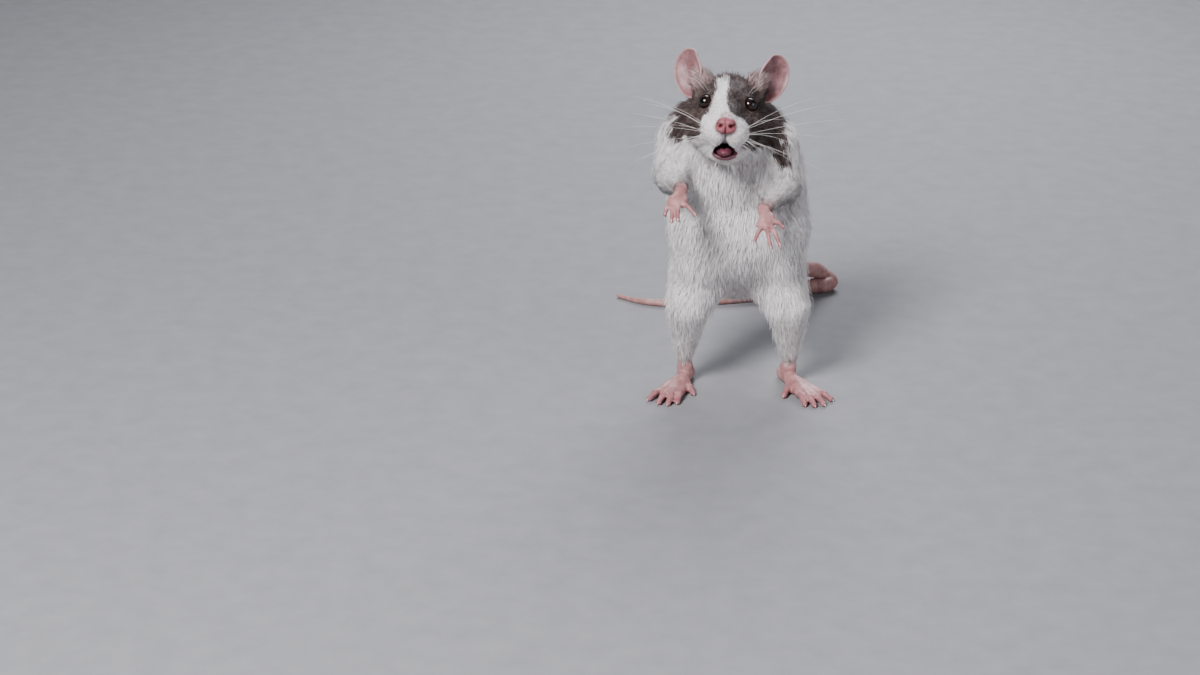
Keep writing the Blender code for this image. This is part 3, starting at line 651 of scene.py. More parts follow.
def hood_at(points, on_head):
    """Above 0 where the coat is grey, below 0 where it is white, in about millimetres"""
    x, y, z = to_head(points).T
    blaze_left = np.interp(y, *BLAZE_LEFT)
    blaze_right = np.interp(y, *BLAZE_RIGHT)
    beside_blaze = np.where(x > blaze_left, x - blaze_left, -x - blaze_right)
    beyond_blaze = np.maximum(beside_blaze, y - BLAZE_END)
    behind_muzzle = y - np.where(x > 0, np.interp(z, *MUZZLE_LEFT), np.interp(z, *MUZZLE_RIGHT))
    above_throat = z + np.where(x > 0, THROAT_LEFT, THROAT_RIGHT)
    face = np.minimum(np.minimum(beyond_blaze, behind_muzzle), above_throat)

    x, y, z = points.T
    sides = np.minimum(x - np.interp(z, *OUTER_RIGHT), np.interp(z, *OUTER_LEFT) - x)
    front = np.minimum(sides, np.maximum(np.interp(z, *INNER_RIGHT) - x, x - np.interp(z, *INNER_LEFT)))
    cape = np.minimum(sides, (z - 99.0 - 0.5 * np.abs(x + 6.5)) * 0.9)
    stripe = np.minimum(4.6 - np.abs(x + 5.5 - 0.04 * (z - 90.0)), (z - 78.0) * 0.5)
    back = np.maximum(cape, stripe)
    share = ramp(y, 12.0, 22.0)
    body = front * (1 - share) + back * share
    return face * on_head + body * (1 - on_head)


# Places in the head where the skin is pressed in or raised: centre, radii, height (less than 0 is
# in) and turn in degrees; the first ones are on both sides
FACE_PAIRS = (
    ((2.4, 0.6, -0.4), (1.05, 2.4, 0.60), -2.0, -24),
    ((3.5, 1.6, 0.45), (0.55, 2.0, 0.62), -1.4, -40),
    ((2.9, 1.0, -1.7), (1.3, 2.0, 0.8), 0.45, 0),
    ((1.8, 0.2, 1.5), (1.5, 1.8, 0.9), 0.35, 0),
    ((1.5, 0.8, -2.4), (1.0, 2.0, 0.7), 0.30, 0),
    ((2.9, 5.0, -5.0), (2.2, 3.0, 2.2), 0.75, 0),
    ((5.3, 9.0, -10.1), (1.3, 3.0, 0.5), -0.55, -12),
    ((16.5, 30.4, -6.5), (6.0, 2.3, 6.5), -4.0, 0),
    ((15.0, 25.6, -6.0), (5.0, 2.8, 5.0), 0.7, 0),
    ((12.0, 22.5, -6.5), (3.0, 3.5, 3.5), 0.5, 0),
)
FACE_SINGLES = (
    ((-5.7, 9.6, -10.6), (1.6, 2.2, 0.8), -0.8, 0),
    ((5.0, 9.6, -10.6), (1.0, 2.0, 0.7), -0.6, 0),
    ((0.0, 0.3, 1.4), (0.45, 2.0, 1.6), -0.35, 0),
    ((0.0, 0.5, -1.8), (0.30, 2.8, 1.9), -0.9, 0),
    ((0.0, 3.4, -5.0), (0.34, 3.4, 2.3), -1.2, 0),
    ((0.0, 7.6, -13.0), (3.2, 2.4, 0.9), 0.30, 0),
)


def pressed(head, centre, radii, height, turn):
    """How far the skin moves along its normals round a place in the head"""
    away = head - np.array(centre)
    cos, sin = math.cos(math.radians(turn)), math.sin(math.radians(turn))
    across = away[:, 0] * cos + away[:, 2] * sin
    along = away[:, 2] * cos - away[:, 0] * sin
    spread = (across / radii[0]) ** 2 + (away[:, 1] / radii[1]) ** 2 + (along / radii[2]) ** 2
    return (height * np.exp(-spread))[:, None]


def lids_round(head, eye, look):
    """The skin laid against the eye's ball, and drawn back to leave the opening between the lids"""
    away = head - eye
    distance = np.linalg.norm(away, axis=1)
    front = (away @ look) / np.maximum(distance, 1e-6)
    hug = ramp(front, 0.10, 0.35) * ramp(distance, 4.6, 3.5)
    target = np.clip(distance, EYE_RADIUS + 0.08, EYE_RADIUS + 0.40)
    distance = distance + (target - distance) * hug
    polar = np.arccos(np.clip(front, -1.0, 1.0))
    on_lid = ramp(distance, EYE_RADIUS + 1.5, EYE_RADIUS + 0.7)
    polar = polar + np.maximum(math.radians(LID_ANGLE) - polar, 0.0) * on_lid
    beside = unit(away - (away @ look)[:, None] * look)
    moved = look * np.cos(polar)[:, None] + beside * np.sin(polar)[:, None]
    near = (distance < EYE_RADIUS + 1.6) & (front > 0.05)
    return np.where(near[:, None], eye + moved * distance[:, None], head)


def shaped_face(net, normals):
    """Nostrils, lips, lids and the groove under the nose, pressed into the skin"""
    head = to_head(net.points)
    turned = normals @ HEAD_TURN
    moves = np.zeros_like(head)
    for side in (-1, 1):
        for centre, radii, height, turn in FACE_PAIRS:
            moves += turned * pressed(head, mirrored(centre, side), radii, height, turn * side)
    for place in FACE_SINGLES:
        moves += turned * pressed(head, *place)
    head = head + moves
    near_lip = np.exp(-((head[:, 2] + 8.1) / 1.9) ** 2 - ((head[:, 1] - 6.5) / 5.0) ** 2)
    peak = 0.9 * bell(head[:, 0], 0.9) - 1.9 * bell(np.abs(head[:, 0]) - 3.5, 1.6)
    head[:, 2] += near_lip * peak
    for side in (-1, 1):
        look = unit(np.array(mirrored(LID_LOOK, side)))
        head = lids_round(head, np.array(mirrored(EYE_PLACE, side)), look)
    return from_head(head)


# How much of the smoothing each part of the body takes, and how many rounds the whole body, the
# trunk and the groin are smoothed for
SMOOTHED = {
    "neck": 1.0, "chest": 1.0, "belly": 1.0, "thigh": 1.0, "upper_arm": 1.0, "shank": 0.9, "forearm": 0.7,
}
FIRST_ROUNDS = 20
TRUNK_ROUNDS = 42
GROIN_ROUNDS = 100
GROIN_PLACE = (-0.5, 2.0, 46.0)
GROIN_SIZE = (34.0, 20.0, 17.0)


def smooth_flesh(net, found):
    """Smooths the trunk and limbs, the trunk more, and most of all the groin"""
    body = net.softened(np.array([SMOOTHED.get(part_of(name), 0.0) for name in NET_NODES])[found], 20)
    smoother = net.softened(net.points, FIRST_ROUNDS)
    net.points = net.points + (smoother - net.points) * body[:, None]
    smoother = net.softened(net.points, TRUNK_ROUNDS)
    net.points = net.points + (smoother - net.points) * ramp(body, 0.6, 1.0)[:, None]
    groin = ramp(apart(net.points, GROIN_PLACE, GROIN_SIZE), 1.0, 0.7)
    smoother = net.softened(net.points, GROIN_ROUNDS)
    net.points = net.points + (smoother - net.points) * groin[:, None]


def build_skin():
    """The net of the skin, its nearest nodes, the coat's depth at each point, and the claws' places"""
    net, claws = build_net()
    net.points = net.softened(net.points, 3)
    found = nearest_nodes(net)
    head = to_head(net.points)
    depth = by_part(found, 0)
    depth = np.where(among(found, HEAD_NODES), depth * (0.2 + 0.8 * ramp(head[:, 1], 8.0, 34.0)), depth)
    depth = net.softened(depth, 25)
    for side in (-1, 1):
        depth = depth * ramp(np.linalg.norm(head - np.array(mirrored(EYE_PLACE, side)), axis=1), 3.2, 6.5)
    smooth_flesh(net, found)
    swell = np.where(among(found, END_NODES), 0.0, SWELL)
    inset = net.softened(swell, 6) + depth
    normals = unit(net.softened(net.normals(), 4))
    net.points = net.points - normals * inset[:, None]
    net.points[:, 2] = np.maximum(net.points[:, 2], 0.0)
    net.points = shaped_face(net, unit(net.softened(net.normals(), 2)))
    return net, found, depth, claws


# Materials


class Nodes:
    """A material with a Principled shader, and short ways to add to it"""

    def __init__(self, name):
        self.material = bpy.data.materials.new(name)
        self.material.use_nodes = True
        self.tree = self.material.node_tree
        self.shader = self.tree.nodes["Principled BSDF"]

    def add(self, kind, **settings):
        node = self.tree.nodes.new("ShaderNode" + kind)
        for key, value in settings.items():
            setattr(node, key, value)
        return node

    def link(self, output, socket):
        self.tree.links.new(output, socket)

    def surface(self, colour, normal=None, **values):
        """Gives the shader its colour, its bumps and its constants"""
        self.link(colour, self.shader.inputs["Base Color"])
        if normal is not None:
            self.link(normal, self.shader.inputs["Normal"])
        for key, value in values.items():
            self.shader.inputs[key.replace("_", " ")].default_value = value
        return self.material

    def value(self, name):
        """The numbers that the mesh carries under a name"""
        return self.add("Attribute", attribute_name=name).outputs["Fac"]

    def place(self):
        return self.add("TexCoord").outputs["Object"]

    def noise(self, vector, scale, detail=3.0, roughness=0.55, stretch=None):
        if stretch is not None:
            mapping = self.add("Mapping")
            mapping.inputs["Scale"].default_value = stretch
            self.link(vector, mapping.inputs["Vector"])
            vector = mapping.outputs["Vector"]
        node = self.add("TexNoise")
        node.inputs["Scale"].default_value = scale
        node.inputs["Detail"].default_value = detail
        node.inputs["Roughness"].default_value = roughness
        self.link(vector, node.inputs["Vector"])
        return node.outputs["Fac"]
    def cells(self, vector, scale):
        """How far each place is from the middle of its own cell"""
        node = self.add("TexVoronoi")
        node.inputs["Scale"].default_value = scale
        self.link(vector, node.inputs["Vector"])
        return node.outputs["Distance"]
    def ramp(self, value, *stops):
        """A colour ramp: each stop a place and a colour"""
        node = self.add("ValToRGB")
        elements = node.color_ramp.elements
        while len(elements) < len(stops):
            elements.new(0.5)
        for element, (place, colour) in zip(elements, stops):
            element.position = place
            element.color = (*colour, 1.0)
        self.link(value, node.inputs["Fac"])
        return node.outputs["Color"]

    def levels(self, value, start, end, low=0.0, high=1.0):
        node = self.add("MapRange")
        for socket, number in zip(("From Min", "From Max", "To Min", "To Max"), (start, end, low, high)):
            node.inputs[socket].default_value = number
        self.link(value, node.inputs["Value"])
        return node.outputs["Result"]

    def mix(self, share, one, other, blend="MIX"):
        """A mix of colours, whose sockets come after the node's float and vector ones"""
        node = self.add("Mix", data_type="RGBA", blend_type=blend)
        self.feed(share, node.inputs["Factor"])
        self.feed(one, node.inputs[6])
        self.feed(other, node.inputs[7])
        return node.outputs[2]

    def feed(self, value, socket):
        """Links an output to the socket, or sets the socket to a number or colour"""
        if isinstance(value, bpy.types.NodeSocket):
            self.link(value, socket)
        elif isinstance(value, tuple):
            socket.default_value = (*value, 1.0)
        else:
            socket.default_value = value

    def maths(self, operation, one, other=0.0):
        node = self.add("Math", operation=operation)
        self.feed(one, node.inputs[0])
        self.feed(other, node.inputs[1])
        return node.outputs["Value"]

    def bump(self, height, strength, distance, under=None):
        node = self.add("Bump")
        node.inputs["Strength"].default_value = strength
        node.inputs["Distance"].default_value = distance * MM
        self.link(height, node.inputs["Height"])
        if under is not None:
            self.link(under, node.inputs["Normal"])
        return node.outputs["Normal"]


WHITE_HAIR = ((0.0, (0.52, 0.475, 0.46)), (0.5, (0.80, 0.77, 0.76)), (1.0, (0.93, 0.92, 0.915)))
GREY_HAIR = ((0.0, (0.014, 0.0095, 0.0085)), (0.5, (0.044, 0.031, 0.028)), (1.0, (0.14, 0.105, 0.096)))
PALE_HAIR = ((0.15, (0.13, 0.070, 0.068)), (0.85, (0.70, 0.52, 0.50)))
PINK_SKIN = ((0.0, (0.25, 0.10, 0.10)), (0.6, (0.38, 0.185, 0.18)), (1.0, (0.52, 0.30, 0.29)))
# Painted shade in the mouth, the nostrils, the mouth's corners and the groove under the nose, multiplied into
# the skin
RECESS_SHADE = ((0.0, (1.0, 1.0, 1.0)), (0.5, (0.46, 0.20, 0.22)), (1.0, (0.20, 0.06, 0.075)))
# Painted shade: the skin under the tufts is a darker copy of the coat's colour
UNDER_COAT_SHADE = (0.62, 0.58, 0.57)
# Painted shade: the colour that the coat and skin are multiplied by in the fold between cheek and shoulder
PARTING_SHADE = (0.22, 0.20, 0.19)
FLUSH = (0.25, 0.073, 0.088)
LIP = (0.105, 0.040, 0.056)
LID = (0.022, 0.014, 0.013)


def coat_colour(nodes, tone):
    """White and grey hair by the mesh's own hood values, each varied by a tone from 0 to 1"""
    return nodes.mix(nodes.value("hood"), nodes.ramp(tone, *WHITE_HAIR), nodes.ramp(tone, *GREY_HAIR))


def coat_material():
    nodes = Nodes("coat")
    place = nodes.place()
    drift = nodes.levels(nodes.noise(place, 160.0), 0.3, 0.7, -0.05, 0.1)
    tone = nodes.maths("ADD", nodes.maths("MULTIPLY", nodes.value("tone"), 0.85), drift)
    tone = nodes.maths("ADD", tone, nodes.maths("MULTIPLY", nodes.value("along"), 0.16))
    colour = nodes.mix(nodes.value("pale"), coat_colour(nodes, tone), nodes.ramp(tone, *PALE_HAIR))
    # Painted shade darkens the coat in the fold between cheek and shoulder
    colour = nodes.mix(nodes.value("parting_shade"), colour, PARTING_SHADE, "MULTIPLY")
    streak = nodes.bump(nodes.noise(place, 2600.0, 2.0), 0.35, 0.05)
    return nodes.surface(
        colour, streak, Roughness=0.62, Sheen_Weight=0.03, Sheen_Roughness=0.5, Specular_IOR_Level=0.15)


def skin_material():
    """Short hair over pink skin, bare where the mesh says so"""
    nodes = Nodes("skin")
    place = nodes.place()
    hair = nodes.noise(place, 900.0, 4.0, 0.65, (1.0, 1.0, 0.35))
    tone = nodes.levels(hair, 0.30, 0.72, 0.0, 0.75)
    # The skin between the tufts takes the coat's colour darkened, as painted shade of the coat's depth
    coat = nodes.mix(1.0, coat_colour(nodes, tone), UNDER_COAT_SHADE, "MULTIPLY")
    # Painted shade darkens the skin in the fold between cheek and shoulder
    coat = nodes.mix(nodes.value("parting_shade"), coat, PARTING_SHADE, "MULTIPLY")
    blotch = nodes.noise(place, 260.0, 4.0, 0.6)
    pink = nodes.ramp(nodes.levels(blotch, 0.3, 0.7), *PINK_SKIN)
    pink = nodes.mix(nodes.value("flush"), pink, FLUSH)
    pink = nodes.mix(nodes.value("lips"), pink, LIP)
    bare = nodes.value("bare")
    colour = nodes.mix(bare, coat, pink)
    # Painted shade darkens the mouth, the nostrils, the mouth's corners and the groove under the nose
    colour = nodes.mix(1.0, colour, nodes.ramp(nodes.value("dark"), *RECESS_SHADE), "MULTIPLY")
    colour = nodes.mix(nodes.value("lid"), colour, LID)
    nodes.link(nodes.levels(bare, 0.0, 1.0, 0.75, 0.46), nodes.shader.inputs["Roughness"])
    fine = nodes.bump(nodes.cells(place, 2400.0), 0.35, 0.06)
    return nodes.surface(
        colour, nodes.bump(hair, 0.5, 0.12, fine),
        Subsurface_Weight=0.12, Subsurface_Radius=(1.0, 0.35, 0.22), Subsurface_Scale=0.0012)


def plain_material(name, blotches, low, high, grain=None, **values):
    """Two colours mixed by noise, and bumps: blotches and grain begin with a noise's scale and detail"""
    nodes = Nodes(name)
    place = nodes.place()
    colour = nodes.ramp(nodes.noise(place, *blotches), (0.3, low), (0.7, high))
    bumps = grain and nodes.bump(nodes.noise(place, *grain[:2]), *grain[2:])
    return nodes.surface(colour, bumps, **values)


# Coat

# Two kinds of tuft, of 4 and 7 points: the triangles, how far along the tuft each point is, and its
# place in the tuft's own small patch of the map
STRAIGHT = (
    ((0, 1, 3), (1, 2, 3), (2, 0, 3), (0, 2, 1)),
    (0.0, 0.0, 0.0, 1.0),
    ((-1, -1), (1, -1), (0, -0.5), (0, 1)),
)
BENT = (
    (
        (0, 1, 4), (0, 4, 3), (1, 2, 5), (1, 5, 4), (2, 0, 3),
        (2, 3, 5), (3, 4, 6), (4, 5, 6), (5, 3, 6), (0, 2, 1),
    ),
    (0.0, 0.0, 0.0, 0.5, 0.5, 0.5, 1.0),
    ((-1, -1), (1, -1), (0, -0.6), (-0.9, 0.2), (0.9, 0.2), (0, 0.3), (0, 1)),
)
BENT_SHARE = 0.25
PATCH_SIZE = 0.0015
# How tufts vary: how far they swirl by wide and narrow waves and by chance, the ranges of their
# length and width and of their tips' height as shares, and the longer guard hairs
SWIRL_SIZES = (18.0, 6.0)
SWIRL_SHARES = (0.22, 0.14, 0.14)
LENGTHS = (0.7, 1.2)
WIDTHS = (0.7, 1.25)
TIP_HEIGHTS = (0.45, 0.95)
GUARD_SHARE = 0.11
GUARD_LENGTH = 0.35
GUARD_HEIGHTS = (0.5, 1.9)
# Tufts to a clump, and where the muzzle's fine hair has more
CLUMP = 16
MUZZLE_CLUMP = 18


def scattered(net, faces, fields, crowd, rng):
    """Roots over the faces by their density: the corners of each one's face, and its weights between them"""
    corners = [net.points[faces[:, i]] for i in range(3)]
    area = np.linalg.norm(np.cross(corners[1] - corners[0], corners[2] - corners[0]), axis=1) / 2
    wanted = area * fields["density"][faces].mean(1) * crowd
    count = np.floor(wanted + rng.random(len(wanted))).astype(int)
    index = np.repeat(np.arange(len(faces)), count)
    a, b = rng.random((2, len(index)))
    flip = a + b > 1
    a[flip], b[flip] = 1 - a[flip], 1 - b[flip]
    return faces[index], np.stack((1 - a - b, a, b), 1)


def leaders(root, tufts, rng):
    """For each root, the tuft that leads its clump"""
    clumps = rng.choice(len(root), max(len(root) // tufts, 1), replace=False)
    lookup = KDTree(len(clumps))
    for i, clump in enumerate(clumps.tolist()):
        lookup.insert(root[clump], i)
    lookup.balance()
    return np.array([clumps[lookup.find(point)[1]] for point in root.tolist()])


def landed(tree, points):
    """The nearest place on the skin to each point, and the way the skin faces there"""
    landing = np.empty(points.shape)
    slope = np.empty(points.shape)
    for i, point in enumerate(points.tolist()):
        landing[i], slope[i] = tree.find_nearest(point)[:2]
    return landing, slope


def grow(name, net, tree, fields, chosen, axis, seed, crowd):
    """Tufts over the chosen faces: thin pointed blades that lie along the coat, some of them bent"""
    rng = np.random.default_rng(seed)
    corner, weights = scattered(net, net.faces[chosen], fields, crowd, rng)
    size = len(corner)

    def at_roots(values):
        return (values[corner] * weights.reshape((size, 3) + (1,) * (values.ndim - 1))).sum(1)

    def bell_draw():
        return rng.normal(size=size)

    root = at_roots(net.points)
    normal = unit(at_roots(fields["normal"]))
    lie = at_roots(fields["lie"])
    side = np.cross(normal, lie)
    swirl = mottle(root, SWIRL_SIZES[0], seed + 1) * SWIRL_SHARES[0]
    swirl += mottle(root, SWIRL_SIZES[1], seed + 2) * SWIRL_SHARES[1]
    swirl += bell_draw() * SWIRL_SHARES[2]
    way = unit(lie * np.cos(swirl)[:, None] + side * np.sin(swirl)[:, None])
    way = unit(way - normal * (way * normal).sum(1, keepdims=True))
    length = at_roots(fields["length"]) * rng.uniform(*LENGTHS, size)
    width = at_roots(fields["width"]) * rng.uniform(*WIDTHS, size)
    depth = at_roots(fields["depth"])
    reach = np.minimum(depth * rng.uniform(*TIP_HEIGHTS, size) + 0.10, length * 0.5)
    guard = (rng.random(size) < GUARD_SHARE) * np.minimum(depth, 1.0)
    length = length * (1.0 + GUARD_LENGTH * guard)
    reach = reach + guard * rng.uniform(*GUARD_HEIGHTS, size)
    lead = leaders(root, MUZZLE_CLUMP if name == "coat_muzzle" else CLUMP, rng)
    standing = rng.random(size)[lead] * 0.5 + rng.random(size) * 0.6
    reach = reach + at_roots(fields["stand"]) * standing * length
    level = np.sqrt(np.maximum(length ** 2 - reach ** 2, 0.04))
    landing, slope = landed(tree, root + way * level[:, None])
    tip = landing + unit(slope + normal * 0.8) * reach[:, None]

    # Each tip is drawn part of the way to where its clump's leader points
    same = (tip[lead] - root[lead]) * (length / np.maximum(length[lead], 1e-6))[:, None]
    gather = (root[lead] - root) * 0.7 + same - (tip - root)
    strength = np.linalg.norm(gather, axis=1)
    gather *= np.minimum(1.0, length * 0.4 / np.maximum(strength, 1e-6))[:, None]
    tip = tip + gather * (at_roots(fields["clump"]) * rng.uniform(0.2, 1.0, size))[:, None]

    strand = bell_draw()[lead]
    tone = 0.55 + 0.20 * bell_draw() + 0.28 * strand + 0.14 * mottle(root, 3.0, seed + 3)
    ragged = at_roots(fields["ragged"])
    stray = bell_draw() * 0.6 + (bell_draw()[lead] * 0.9 + mottle(root, 4.0, seed + 4)) * ragged
    hood = at_roots(fields["hood"]) + stray * (0.35 + 0.65 * np.minimum(depth, 1.0))

    foot = root - normal * 0.2
    side = unit(np.cross(normal, unit(tip - root)))
    half = side * (width / 2)[:, None]
    crest = normal * (width * 0.35)[:, None]
    middle = root * 0.5 + tip * 0.5 + normal * (reach * 0.35 + 0.04)[:, None]
    left, right = unit(normal - side * 0.55), unit(normal + side * 0.55)
    bent = rng.random(size) < BENT_SHARE
    kinds = (
        (~bent, STRAIGHT, (foot - half, foot + half, foot + crest, tip), (left, right, normal, normal)),
        (
            bent,
            BENT,
            (foot - half * 0.8, foot + half * 0.8, foot + crest,
             middle - half, middle + half, middle + crest, tip),
            (left, right, normal, left, right, normal, normal),
        ),
    )
    points, facing, triangles, along, patch, owner = [], [], [], [], [], []
    first = 0
    for which, (pattern, shares, spots), places, facings in kinds:
        number, each = int(which.sum()), len(places)
        points.append(np.stack(places, 1)[which].reshape(-1, 3))
        facing.append(np.stack(facings, 1)[which].reshape(-1, 3))
        starts = first + np.arange(number) * each
        triangles.append((np.array(pattern)[None] + starts[:, None, None]).reshape(-1, 3))
        along.append(np.tile(shares, number))
        patch.append(np.tile(spots, (number, 1)))
        owner.append(np.repeat(np.flatnonzero(which), each))
        first += number * each
    points, facing, triangles, along, patch, owner = (
        np.concatenate(part) for part in (points, facing, triangles, along, patch, owner))
    points[:, 2] = np.maximum(points[:, 2], 0.05)
    item = new_piece(name, points, triangles)
    item.data.normals_split_custom_set_from_vertices(facing.astype(np.float32))
    set_values(item, "tone", np.clip(tone, 0, 1)[owner])
    set_values(item, "hood", ramp(hood, -0.5, 0.5)[owner])
    set_values(item, "pale", at_roots(fields["pale"])[owner])
    # Painted shade of the cheek's fold, taken at each tuft's root
    set_values(item, "parting_shade", at_roots(fields["parting_shade"])[owner])
    set_values(item, "along", along)
    place_on_map(item, root[owner], patch * PATCH_SIZE, triangles, axis)
    return item


def place_on_map(item, root, patch, triangles, axis):
    """A small patch of the map for each tuft, where its root lies on the skin unrolled round an axis"""
    start, end = (np.array(point, dtype=float) for point in axis)
    line = unit(end - start)
    across = unit(np.cross(line, (0.31, 0.9, 0.27)))
    other = np.cross(line, across)
    away = root - start
    angle = np.arctan2(away @ other, away @ across) / (2 * math.pi) + 0.5
    height = away @ line
    height = (height - height.min()) / max(np.ptp(height), 1e-6)
    spots = np.stack((0.01 + 0.98 * angle, 0.01 + 0.98 * height), 1) + patch
    layer = item.data.uv_layers.new(name="OFBake")
    layer.data.foreach_set("uv", spots[triangles.reshape(-1)].astype(np.float32).ravel())


# Bare pieces


def catmull_rom(a, b, c, d, share):
    """A point between b and c on a smooth curve through four points"""
    return 0.5 * (
        2 * b
        + (c - a) * share
        + (2 * a - 5 * b + 4 * c - d) * share ** 2
        + (3 * b - a - 3 * c + d) * share ** 3
    )


def course_of(stops, steps):
    """Points and radii close together on a smooth curve through the stops"""
    places = [np.array(place, dtype=float) for place, _ in stops]
    places = [2 * places[0] - places[1]] + places + [2 * places[-1] - places[-2]]
    points = []
    radii = []
    for i in range(len(stops) - 1):
        for step in range(steps):
            share = step / steps
            points.append(catmull_rom(*places[i:i + 4], share))
            radii.append(stops[i][1] * (1 - share) + stops[i + 1][1] * share)
    points.append(places[-2])
    radii.append(stops[-1][1])
    return np.array(points), np.array(radii)


def evenly(points, radii, pitch):
    """The course again, at steps of one length"""
    steps = np.linalg.norm(np.diff(points, axis=0), axis=1)
    run = np.concatenate(((0.0,), np.cumsum(steps)))
    stations = np.linspace(0.0, run[-1], int(run[-1] / pitch) + 1)
    even = np.stack([np.interp(stations, run, points[:, axis]) for axis in range(3)], 1)
    return stations, even, np.interp(stations, run, radii)


def frames_along(points):
    """Two directions across the course at each point, turning as little as they can"""
    along = unit(np.gradient(points, axis=0))
    across = np.empty_like(points)
    across[0] = unit(np.cross(along[0], (0.1, 0.2, 1.0)))
    for i in range(1, len(points)):
        across[i] = unit(across[i - 1] - along[i] * (across[i - 1] @ along[i]))
    return along, across, np.cross(along, across)


def turns(count):
    """Angles all round a circle"""
    return np.linspace(0, 2 * math.pi, count, endpoint=False)


def circles(angle, across, other):
    """Directions across a course by point and angle"""
    return np.cos(angle)[None, :, None] * across[:, None] + np.sin(angle)[None, :, None] * other[:, None]


def grid_faces(rings, sides):
    """The four corners of each quad between neighbouring rings"""
    i, j = np.meshgrid(np.arange(rings - 1), np.arange(sides), indexing="ij")
    k = (j + 1) % sides
    return i * sides + j, i * sides + k, (i + 1) * sides + k, (i + 1) * sides + j


def triples(*corners):
    return np.stack(corners, -1).reshape(-1, 3)


def tube_faces(rings, sides):
    """Quads round a tube, with fans closing both ends at the two last points"""
    a, b, c, d = grid_faces(rings, sides)
    j = np.arange(sides)
    k = (j + 1) % sides
    first, last = rings * sides, rings * sides + 1
    start = triples(np.full(sides, first), k, j)
    end = triples(np.full(sides, last), (rings - 1) * sides + j, (rings - 1) * sides + k)
    return np.concatenate((triples(a, b, c), triples(a, c, d), start, end))


TAIL_SIDES = 36
TAIL_STEP = 0.34
SCALES_ROUND = 18
SKIN_INSET = 0.12


def build_tail():
    """The tail in rings of scales, each ring's hind edge standing a little proud"""
    points, radii = course_of(TAIL_COURSE, 12)
    run, points, radii = evenly(points, radii, TAIL_STEP)
    along, across, other = frames_along(points)
    angle = turns(TAIL_SIDES)
    phase = np.cumsum(TAIL_STEP / np.interp(run, (0, 200), (1.02, 0.62)))
    edge = (phase % 1.0) ** 2
    jagged = 0.035 * np.sin(angle[None] * SCALES_ROUND + (np.floor(phase) % 2)[:, None] * math.pi)
    lift = (0.11 * edge[:, None] + jagged) * np.interp(radii, (0.8, 3.5), (0.5, 1.0))[:, None]
    reach = (radii - SKIN_INSET)[:, None] + lift
    skin = points[:, None] + circles(angle, across, other) * reach[..., None]
    unrolled = np.stack(np.broadcast_arrays(
        run[:, None], np.cos(angle)[None] * radii[:, None], np.sin(angle)[None] * radii[:, None]), -1)
    tip = points[-1] + along[-1] * radii[-1]
    skin = np.concatenate((skin.reshape(-1, 3), points[:1], tip[None]))
    skin[:, 2] = np.maximum(skin[:, 2], 0.0)
    unrolled = np.concatenate((unrolled.reshape(-1, 3), [[0, 0, 0]], [[run[-1], 0, 0]]))
    item = new_piece("tail_skin", skin, tube_faces(len(points), TAIL_SIDES))
    set_vectors(item, "unrolled", unrolled)
    set_values(item, "ring", np.concatenate((np.repeat(edge, TAIL_SIDES), (0.0, 0.0))))
    return item


TAIL_SKIN = ((0.0, (0.23, 0.10, 0.095)), (0.5, (0.34, 0.17, 0.16)), (1.0, (0.45, 0.265, 0.25)))
# Each ring darker at its front and lighter towards its raised hind edge
TAIL_RINGS = ((0.0, (0.66, 0.52, 0.50)), (0.35, (1.0, 1.0, 1.0)), (1.0, (1.10, 1.06, 1.04)))
TAIL_SPOTS = (0.42, 0.25, 0.22)


def tail_material():
    nodes = Nodes("tail_scales")
    straight = nodes.add("Attribute", attribute_name="unrolled").outputs["Vector"]
    scales = nodes.cells(straight, 1.15)
    base = nodes.ramp(nodes.levels(nodes.noise(straight, 0.35, 4.0), 0.3, 0.7), *TAIL_SKIN)
    colour = nodes.mix(0.8, base, nodes.ramp(nodes.value("ring"), *TAIL_RINGS), "MULTIPLY")
    spots = nodes.levels(scales, 0.1, 0.7)
    colour = nodes.mix(nodes.maths("MULTIPLY", spots, 0.30), colour, TAIL_SPOTS)
    return nodes.surface(
        colour, nodes.bump(scales, 0.5, -0.08), Roughness=0.55,
        Subsurface_Weight=0.12, Subsurface_Radius=(1.0, 0.35, 0.22), Subsurface_Scale=0.001)


def ear_frame(pose):
    side = pose["side"]
    lean = Matrix.Rotation(math.radians(-EAR_BACK), 4, "X")
    spread = Matrix.Rotation(math.radians(pose["spread"] * side), 4, "Y")
    turn = Matrix.Rotation(math.radians(pose["turn"] * side), 4, "Z")
    return HEAD @ Matrix.Translation(mirrored(pose["base"], side)) @ spread @ lean @ turn


EAR_RINGS = 26
EAR_SPOKES = 84
# The ear's thickness to each side of its sheet, from its middle to its rim
EAR_THICK = ((0.0, 0.8, 0.96, 1.0), (0.42, 0.36, 0.32, 0.12))


